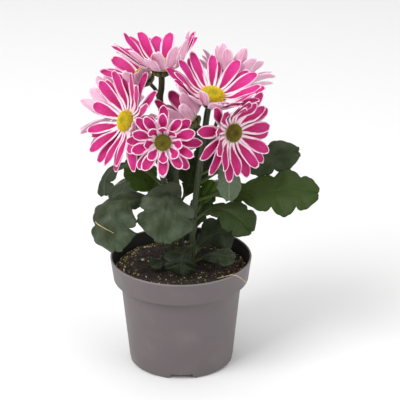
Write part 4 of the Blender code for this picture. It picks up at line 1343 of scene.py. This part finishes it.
def petal_face(look):
    """Magenta face that darkens to crimson at the root, inside a white margin, and painted shade that
    deepens the blooms lying in shade towards crimson.
    """
    def shades(tree):
        along, rim, tint = (value_of(tree, name) for name in ("along", "rim", "tint"))
        streak = petal_streaks(tree, 2.4)
        wander = petal_streaks(tree, 1.1)
        margin = ease(tree, along, 0.1, 0.95, look.margin * MARGIN_AT_ROOT, look.margin * MARGIN_AT_TIP)
        margin = swayed(tree, margin, wander, 2.2)
        inner = maths(tree, "SUBTRACT", rim, margin)
        mask = ease(tree, swayed(tree, inner, streak, 1.4), -0.55, 0.6)
        place = maths(tree, "MULTIPLY_ADD", tint, 0.05, along)
        body = ramp(tree, place, [(0.16, look.crimson), (0.42, look.magenta),
                                  (0.8, look.pink), (1.0, look.magenta)])
        deep = ease(tree, streak, 0.38, 0.66, 0.0, 0.45)
        body = blend(tree, deep, body, look.crimson)
        # Painted shade: the blooms that lie in shade are deepened towards crimson
        body = blend(tree, value_of(tree, "depth"), body, look.crimson)
        light = ease(tree, streak, 0.54, 0.76, 0.0, 0.5)
        body = blend(tree, light, body, srgb(240, 96, 178))
        edge = blend(tree, ease(tree, streak, 0.35, 0.7, 0.0, 0.6), look.white, srgb(246, 190, 222))
        edge = blend(tree, ease(tree, along, 0.0, 0.2, 0.8, 0.0), edge, srgb(228, 226, 168))
        return {"colour": blend(tree, mask, edge, body), "bump": streak}
    return finish("petal_face", shades, roughness=0.5, bump_height=0.00008, Specular_IOR_Level=0.25)


def petal_back(look):
    """Pale back with pinker veins, whiter at its edge and greener at its root."""
    def shades(tree):
        along, rim = value_of(tree, "along"), value_of(tree, "rim")
        streak = petal_streaks(tree, 1.9)
        body = blend(tree, ease(tree, streak, 0.35, 0.7, 0.0, 0.75), look.back, srgb(226, 146, 186))
        body = blend(tree, ease(tree, rim, 0.3, 1.6), look.white, body)
        body = blend(tree, ease(tree, along, 0.05, 0.3, 0.75, 0.0), body, srgb(226, 220, 176))
        return {"colour": body, "bump": streak}
    return finish("petal_back", shades, roughness=0.55, bump_height=0.00008, Specular_IOR_Level=0.25)


def make_discs(disc):
    """Domes of tiny florets in a spiral: buds at the middle, open florets round the edge."""
    finishes = {True: floret_finish("green_disc_florets", disc.dark, disc.olive),
                False: floret_finish("yellow_disc_florets", disc.lime, disc.yellow)}
    for bloom in BLOOMS:
        draw = random.Random(bloom.seed + FLORET_SEED)
        turn = bloom_frame(bloom)
        bm = marked("place", "tint")
        absorb(bm, floret_bed(bloom, turn))
        tag(bm, bm.verts, place=BED_PLACE, tint=-1.0)
        for index in range(disc.florets):
            share = math.sqrt((index + 0.5) / disc.florets)
            lay_floret(bm, bloom, disc, turn, index, share, draw)
        bmesh.ops.recalc_face_normals(bm, faces=bm.faces)
        greener = bloom.name in GREENER_SHADED_DISCS
        piece("florets_" + bloom.name, bm, [finishes[greener]], ["bloom_" + bloom.name + "_disc"])


def floret_bed(bloom, turn):
    """The dome that a disc's florets stand in, in its place."""
    bed = marked("place", "tint")
    edge, crown = DISC_LOW + DISC_EDGE, DISC_CROWN * BED_HEIGHT
    dome = [(bloom.disc * BED_REACH * math.cos(a), edge + crown * math.sin(a))
            for a in (step * math.pi / 2 / BED_STEPS for step in range(BED_STEPS))]
    foot = [(0.0, DISC_LOW), (bloom.disc * BED_FOOT, DISC_LOW)]
    turned(bed, [*foot, *dome, (0.0, edge + crown)], ROUND_SIDES)
    bmesh.ops.transform(bed, matrix=turn, verts=bed.verts)
    return bed


def lay_floret(bm, bloom, disc, turn, index, share, draw):
    """A round bud, or past the ring where they open a flared floret with teeth."""
    angle = index * GOLDEN_ANGLE
    height = DISC_LOW + DISC_EDGE + DISC_CROWN * math.sqrt(max(0.0, 1 - (share * FLORET_REACH) ** 2))
    normal = polar(share, angle, UPRIGHT_MIDDLE * (UPRIGHT_REACH - share) + UPRIGHT_EDGE).normalized()
    size = disc.floret * bloom.disc / FULL_DISC * draw.uniform(*FLORET_SIZES)
    spot = polar(bloom.disc * FLORET_REACH * share, angle, height) - normal * size * FLORET_SUNK
    stand = turn @ Matrix.Translation(spot) @ normal.to_track_quat("Z", "Y").to_matrix().to_4x4()
    if share < OPEN_FLORETS:
        stretch = Matrix.Diagonal((1.0, 1.0, BUD_STRETCH, 1.0))
        made = bmesh.ops.create_icosphere(bm, subdivisions=1, radius=size * mixed(BUD_MIDDLE, 1.0, share),
                                          matrix=stand @ stretch)["verts"]
    else:
        made = bmesh.ops.create_cone(bm, cap_ends=True, segments=2 * FLORET_TEETH,
                                     radius1=size * FLORET_FOOT, radius2=size * FLORET_MOUTH,
                                     depth=size * FLORET_DEPTH, matrix=stand)["verts"]
        cut_teeth(made, stand, size)
    tag(bm, made, place=share, tint=draw.uniform(-1, 1))


def cut_teeth(verts, stand, size):
    """Draw every second corner of a floret's mouth inwards and down, which leaves teeth between."""
    inside = stand.inverted()
    mouth = sorted(verts, key=lambda vert: -(inside @ vert.co).z)[:2 * FLORET_TEETH]
    for vert in mouth:
        own = inside @ vert.co
        if round(math.atan2(own.y, own.x) / (math.pi / FLORET_TEETH)) % 2:
            drawn = Vector((own.x * TOOTH_PULL, own.y * TOOTH_PULL, own.z - size * TOOTH_DROP))
            vert.co = stand @ drawn


def floret_finish(name, inner, outer):
    """Soft finish of the florets, from the buds at the middle to the open ones at the edge."""
    def shades(tree):
        place = maths(tree, "MULTIPLY_ADD", value_of(tree, "tint"), 0.16, value_of(tree, "place"))
        fleck = grain(tree, places(tree), 3000.0, detail=2.0)
        colour = ramp(tree, place, [(0.15, inner), (0.75, outer)])
        colour = blend(tree, ease(tree, fleck, 0.45, 0.75, 0.0, 0.3), colour, outer)
        return {"colour": colour, "bump": fleck}
    return finish(name, shades, roughness=0.6, bump_height=0.00008)


def leaf_midrib(leaf):
    """Midrib points of a leaf, from inside its stem at its seat."""
    points = stalk_points(STALKS[leaf.stem][0])
    share = min((step / ROOT_STEPS for step in range(ROOT_STEPS + 1)),
                key=lambda part: abs(spline(points, part).z - leaf.height))
    axis = spline(points, share)
    stem = direction(points, share)
    towards = (Vector(leaf.midrib[0]) - axis).normalized()
    outward = (towards - stem * towards.dot(stem)).normalized()
    seat = axis + outward * (STEM_RADIUS + GAP + PETIOLE_RADIUS * abs(towards.dot(stem)) - ROOT_SUNK)
    return [seat] + [Vector(p) for p in leaf.midrib]


def leaf_width(place, lobes, shift):
    """Half width of a blade along its midrib as a share of its widest, with toothed lobes."""
    stretch, start, power = LEAF_SHAPE
    envelope = math.sin(math.pi * min(1.0, place * stretch + start) ** power)
    turn = math.pi * (place * lobes + shift)
    cut = abs(math.sin(turn)) ** LOBE_ROUNDING
    tooth = abs(math.sin(TEETH * turn)) ** LOBE_ROUNDING
    return envelope * (1.0 - LOBE_CUT + LOBE_CUT * cut) * (1.0 - TOOTH + TOOTH * tooth)


def opened(share):
    """0 along a leaf's stalk, 1 where its blade has opened."""
    return smooth_step((share - PETIOLE_SHARE) * BLADE_OPENING)


def make_leaf(look, leaf, finishes):
    """A lobed leaf with its stalk, quilted between sunken veins."""
    draw = random.Random(leaf.seed)
    shifts = {side: draw.uniform(-LOBE_SHIFT, LOBE_SHIFT) for side in (-1, 1)}
    wave_start = draw.uniform(0, 2 * math.pi)
    midrib = leaf_midrib(leaf)
    face = Vector(leaf.face).normalized()
    length = sum((a - b).length for a, b in zip(midrib, midrib[1:])) * (1.0 - PETIOLE_SHARE)
    tint = LEAF_TINTS_AND_SHADE.get(leaf.name, 0.0)

    def place_of(share):
        return max(0.0, share - PETIOLE_SHARE) / (1.0 - PETIOLE_SHARE)

    def width_at(offset, share):
        if share < PETIOLE_SHARE:
            return 0.0
        return leaf.half_width * leaf_width(place_of(share), leaf.lobes, shifts[half_of(offset)])

    def rib_of(offset, share):
        return place_of(share) * leaf.lobes + shifts[half_of(offset)] + 0.5 + VEIN_RISE * (1.0 - abs(offset))

    def relief(offset, share, width, spot):
        out = abs(offset)
        waves = share * LEAF_WAVE_TURNS + wave_start + half_of(offset)
        wave = LEAF_WAVE * leaf.half_width * math.sin(waves) * out
        drop = leaf.arch * width * out ** ARCH_POWER
        quilt = look.quilt * abs(math.sin(math.pi * rib_of(offset, share))) ** QUILT_POWER
        quilt *= smooth_step(out * QUILT_START) * (1.0 - out ** 3) * min(1.0, width / QUILT_FULL_WIDTH)
        groove = look.vein * (1.0 - smooth_step(out * width / VEIN_HALF_WIDTH))
        uneven = noise(spot * CRUMPLE_SCALE + Vector((leaf.seed, 0, 0)))
        swell = look.crumple * uneven * (CRUMPLE_MIDDLE + out)
        return wave - drop + quilt - groove + swell

    def surface(offset, share):
        along = direction(midrib, share)
        across = face.cross(along).normalized()
        normal = along.cross(across)
        width = width_at(offset, share)
        swept = opened(share) * min(LOBE_SWEEP * leaf.half_width * abs(offset),
                                    TIP_SWEEP[0] * (1.0 - share) * leaf.half_width + TIP_SWEEP[1])
        spot = spline(midrib, share) + across * offset * max(width, PETIOLE_RADIUS) + along * swept
        return spot + normal * opened(share) * relief(offset, share, width, spot), normal

    def half_thickness(offset, share):
        round_part = PETIOLE_RADIUS * math.sqrt(max(0.0, 1.0 - offset * offset))
        return mixed(round_part, look.thickness / 2, opened(share))

    def marks(offset, share):
        width = max(width_at(offset, share), PETIOLE_RADIUS)
        return {"across": offset * width * MILLIMETRES, "along": share * length * MILLIMETRES, "tint": tint,
                "rib": rib_of(offset, share), "pitch": length / leaf.lobes * MILLIMETRES,
                "petiole": 1.0 - opened(share)}
    bm = marked("across", "along", "rib", "pitch", "tint", "petiole")
    blade(bm, look.columns, look.rows, surface, half_thickness, marks)
    bmesh.ops.recalc_face_normals(bm, faces=bm.faces)
    piece("veined_" + leaf.name, bm, finishes, [leaf.name])


def vein_masks(tree):
    """Midrib, side veins and the finer net between them, each from 0 to 1."""
    across, rib, pitch = (value_of(tree, name) for name in ("across", "rib", "pitch"))
    along, tint = value_of(tree, "along"), value_of(tree, "tint")
    spot = node(tree, "CombineXYZ", {0: across, 1: along, 2: tint}).outputs[0]
    wander = maths(tree, "MULTIPLY_ADD", grain(tree, spot, 0.35, detail=2.0), 0.16, -0.08)
    phase = maths(tree, "FRACT", maths(tree, "ADD", rib, wander))
    near = maths(tree, "SUBTRACT", 0.5, maths(tree, "ABSOLUTE", maths(tree, "SUBTRACT", phase, 0.5)))
    far = maths(tree, "MULTIPLY", near, pitch)
    side = ease(tree, far, 0.15, 0.55, 1.0, 0.0)
    middle = ease(tree, maths(tree, "ABSOLUTE", across), 0.3, 0.8, 1.0, 0.0)
    coarse = maths(tree, "MULTIPLY", vein_net(tree, spot, 0.28, 0.10), 0.8)
    delicate = maths(tree, "MULTIPLY", vein_net(tree, spot, 0.75, 0.14), 0.5)
    fine = maths(tree, "MAXIMUM", coarse, delicate)
    return maths(tree, "MAXIMUM", side, middle), fine, spot


def vein_net(tree, spot, scale, width):
    """A net of fine lines, 1 on a line and 0 in its meshes."""
    cells = node(tree, "TexVoronoi", {"Vector": spot, "Scale": scale},
                 feature="DISTANCE_TO_EDGE", voronoi_dimensions="2D")
    return ease(tree, cells.outputs["Distance"], 0.0, width, 1.0, 0.0)


def leaf_top(look):
    """Dark green upper face with paler veins, a grey haze on older leaves that is partly fine hairs and
    partly painted sheen, uneven ageing, and painted shade on the leaves that lie in shade.
    """
    def shades(tree):
        veins, fine, spot = vein_masks(tree)
        tint = value_of(tree, "tint")
        patch = grain(tree, spot, 0.09, detail=3.0)
        fleck = grain(tree, spot, 1.3, detail=4.0, roughness=0.65)
        body = ramp(tree, swayed(tree, tint, patch, 0.35),
                    [(0.0, look.dark), (0.45, look.green), (1.0, look.bright)])
        old = ease(tree, tint, 0.0, 0.4, 1.0, 0.0)
        # A grey haze on the older leaves, partly their fine hairs and partly a painted sheen
        sheen_and_hairs = maths(tree, "MULTIPLY", ease(tree, patch, 0.25, 0.85, 0.0, 0.6), old)
        body = blend(tree, sheen_and_hairs, body, srgb(100, 112, 92))
        body = blend(tree, ease(tree, fleck, 0.5, 0.75, 0.0, 0.2), body, srgb(74, 86, 60))
        # Painted shade: leaves with a tint below 0 are darkened towards near-black green
        body = blend(tree, ease(tree, tint, -0.5, 0.0, 0.65, 0.0), body, srgb(18, 24, 10))
        body = blend(tree, maths(tree, "MULTIPLY", fine, 0.16), body, look.rib)
        body = blend(tree, maths(tree, "MULTIPLY", veins, 0.4), body, look.rib)
        body = blend(tree, value_of(tree, "petiole"), body, srgb(80, 96, 52))
        relief = maths(tree, "MULTIPLY_ADD", fine, -0.5, maths(tree, "MULTIPLY", veins, -1.0))
        relief = maths(tree, "MULTIPLY_ADD", fleck, 0.35, relief)
        rough = ease(tree, fleck, 0.3, 0.7, 0.3, 0.45)
        return {"colour": body, "bump": relief, "roughness": rough}
    return finish("leaf_top", shades, roughness=0.5, bump_height=0.00022, Specular_IOR_Level=0.22)


def leaf_under(look):
    """Grey-green under face with raised pale veins."""
    def shades(tree):
        veins, fine, spot = vein_masks(tree)
        fleck = grain(tree, spot, 1.6, detail=4.0, roughness=0.65)
        body = blend(tree, ease(tree, fleck, 0.4, 0.7, 0.0, 0.4), look.under, srgb(118, 132, 112))
        body = blend(tree, maths(tree, "MULTIPLY", fine, 0.3), body, srgb(128, 140, 108))
        body = blend(tree, maths(tree, "MULTIPLY", veins, 0.65), body, srgb(132, 144, 104))
        body = blend(tree, value_of(tree, "petiole"), body, srgb(80, 96, 52))
        return {"colour": body, "bump": maths(tree, "MULTIPLY_ADD", fine, 0.4, veins)}
    return finish("leaf_under", shades, roughness=0.65, bump_height=0.0003, Specular_IOR_Level=0.12)


def make_leaves(look):
    """All the leaves, each in place of its solid."""
    finishes = [leaf_top(look), leaf_under(look)]
    for leaf in LEAVES:
        make_leaf(look, leaf, finishes)


FLOOR_SIZE = 12.0
LIGHTS = (
    ("key_light", "key", (-1.3, -1.1, 1.9), 1.4),
    ("fill_light", "fill", (1.6, -1.2, 1.0), 1.6),
    ("top_light", "top", (0.1, 0.5, 2.2), 1.8),
)
LIT_POINT = Vector((0.0, 0.0, 0.15))


def make_floor(stage):
    """A plain pale floor that reaches past the camera's view."""
    bm = bmesh.new()
    bmesh.ops.create_grid(bm, x_segments=1, y_segments=1, size=FLOOR_SIZE / 2)
    mesh = bpy.data.meshes.new("floor")
    bm.to_mesh(mesh)
    bm.free()
    plain = finish("plain_floor", lambda tree: {}, roughness=0.9, Base_Color=(*stage.floor, 1.0))
    mesh.materials.append(plain)
    floor = bpy.data.objects.new("floor", mesh)
    bpy.context.scene.collection.objects.link(floor)


def make_lights(stage):
    """Soft area lights that face the plant, and an even pale world."""
    for name, setting, place, size in LIGHTS:
        light = bpy.data.lights.new(name, "AREA")
        light.energy = getattr(stage, setting)
        light.size = size
        lamp = bpy.data.objects.new(name, light)
        lamp.location = place
        lamp.rotation_euler = (Vector(place) - LIT_POINT).to_track_quat("Z", "Y").to_euler()
        bpy.context.scene.collection.objects.link(lamp)
    world = bpy.data.worlds.new("studio")
    world.use_nodes = True
    background = world.node_tree.nodes["Background"]
    background.inputs["Color"].default_value = (1.0, 1.0, 1.0, 1.0)
    background.inputs["Strength"].default_value = stage.world
    bpy.context.scene.world = world


def make_camera():
    """The camera at the photo's height and angle."""
    camera = bpy.data.cameras.new("photo_camera")
    camera.lens = CAMERA_LENS
    eye = bpy.data.objects.new("photo_camera", camera)
    eye.location = CAMERA_PLACE
    eye.rotation_euler = (math.pi / 2 - CAMERA_PITCH, 0.0, CAMERA_YAW)
    bpy.context.scene.collection.objects.link(eye)
    bpy.context.scene.camera = eye


class CHRYSANTHEMUM_OT_pot(bpy.types.Operator):
    """Make the nursery pot with its beaded lip, rim band and drain pockets"""

    bl_idname = "chrysanthemum.pot"
    bl_label = "Pot"
    bl_options = {"REGISTER", "UNDO"}
    settings = "chrysanthemum_pot"

    def execute(self, context):
        make_pot(context.scene.chrysanthemum_pot)
        return {"FINISHED"}


def make_ground(soil):
    """Peat with its crumbs, rootlets and straws."""
    make_peat(soil)
    make_crumbs(soil)
    make_rootlets(soil)
    make_straws(soil)


class CHRYSANTHEMUM_OT_soil(bpy.types.Operator):
    """Make the peat with its loose crumbs, fine roots and straws"""

    bl_idname = "chrysanthemum.soil"
    bl_label = "Soil"
    bl_options = {"REGISTER", "UNDO"}
    settings = "chrysanthemum_soil"

    def execute(self, context):
        make_ground(context.scene.chrysanthemum_soil)
        return {"FINISHED"}


class CHRYSANTHEMUM_OT_stems(bpy.types.Operator):
    """Make the ribbed stems with their stalks, calyces and hairs"""

    bl_idname = "chrysanthemum.stems"
    bl_label = "Stems"
    bl_options = {"REGISTER", "UNDO"}
    settings = "chrysanthemum_stems"

    def execute(self, context):
        make_stems(context.scene.chrysanthemum_stems)
        return {"FINISHED"}


class CHRYSANTHEMUM_OT_petals(bpy.types.Operator):
    """Make the petals of every bloom"""

    bl_idname = "chrysanthemum.petals"
    bl_label = "Petals"
    bl_options = {"REGISTER", "UNDO"}
    settings = "chrysanthemum_petals"

    def execute(self, context):
        make_petals(context.scene.chrysanthemum_petals)
        return {"FINISHED"}


class CHRYSANTHEMUM_OT_discs(bpy.types.Operator):
    """Make the florets of every disc"""

    bl_idname = "chrysanthemum.discs"
    bl_label = "Discs"
    bl_options = {"REGISTER", "UNDO"}
    settings = "chrysanthemum_discs"

    def execute(self, context):
        make_discs(context.scene.chrysanthemum_discs)
        return {"FINISHED"}


class CHRYSANTHEMUM_OT_leaves(bpy.types.Operator):
    """Make the veined leaves"""

    bl_idname = "chrysanthemum.leaves"
    bl_label = "Leaves"
    bl_options = {"REGISTER", "UNDO"}
    settings = "chrysanthemum_leaves"

    def execute(self, context):
        make_leaves(context.scene.chrysanthemum_leaves)
        return {"FINISHED"}


def make_stage(stage):
    """Floor, lights and camera, shown with the plain colour transform."""
    bpy.context.scene.view_settings.view_transform = "Standard"
    make_floor(stage)
    make_lights(stage)
    make_camera()


class CHRYSANTHEMUM_OT_stage(bpy.types.Operator):
    """Set up the floor, the studio lights and the camera"""

    bl_idname = "chrysanthemum.stage"
    bl_label = "Stage"
    bl_options = {"REGISTER", "UNDO"}
    settings = "chrysanthemum_stage"

    def execute(self, context):
        make_stage(context.scene.chrysanthemum_stage)
        return {"FINISHED"}


STEPS = (
    (CHRYSANTHEMUM_OT_pot, PotSettings), (CHRYSANTHEMUM_OT_soil, SoilSettings),
    (CHRYSANTHEMUM_OT_stems, StemSettings), (CHRYSANTHEMUM_OT_petals, PetalSettings),
    (CHRYSANTHEMUM_OT_discs, DiscSettings), (CHRYSANTHEMUM_OT_leaves, LeafSettings),
    (CHRYSANTHEMUM_OT_stage, StageSettings),
)


class CHRYSANTHEMUM_PT_panel(bpy.types.Panel):
    """Settings and buttons of every step"""

    bl_label = "Pot Chrysanthemum"
    bl_idname = "CHRYSANTHEMUM_PT_panel"
    bl_space_type = "VIEW_3D"
    bl_region_type = "UI"
    bl_category = "Chrysanthemum"

    def draw(self, context):
        for operator, settings in STEPS:
            box = self.layout.box()
            values = getattr(context.scene, operator.settings)
            for name in settings.__annotations__:
                box.prop(values, name)
            box.operator(operator.bl_idname)


def register():
    for operator, settings in STEPS:
        bpy.utils.register_class(settings)
        bpy.utils.register_class(operator)
        setattr(bpy.types.Scene, operator.settings, PointerProperty(type=settings))
    bpy.utils.register_class(CHRYSANTHEMUM_PT_panel)


def unregister():
    bpy.utils.unregister_class(CHRYSANTHEMUM_PT_panel)
    for operator, settings in reversed(STEPS):
        delattr(bpy.types.Scene, operator.settings)
        bpy.utils.unregister_class(operator)
        bpy.utils.unregister_class(settings)


def main():
    """Make every piece through its operator."""
    register()
    bpy.ops.chrysanthemum.pot()
    bpy.ops.chrysanthemum.soil()
    bpy.ops.chrysanthemum.stems()
    bpy.ops.chrysanthemum.petals()
    bpy.ops.chrysanthemum.discs()
    bpy.ops.chrysanthemum.leaves()
    bpy.ops.chrysanthemum.stage()


if __name__ == "__main__":
    main()
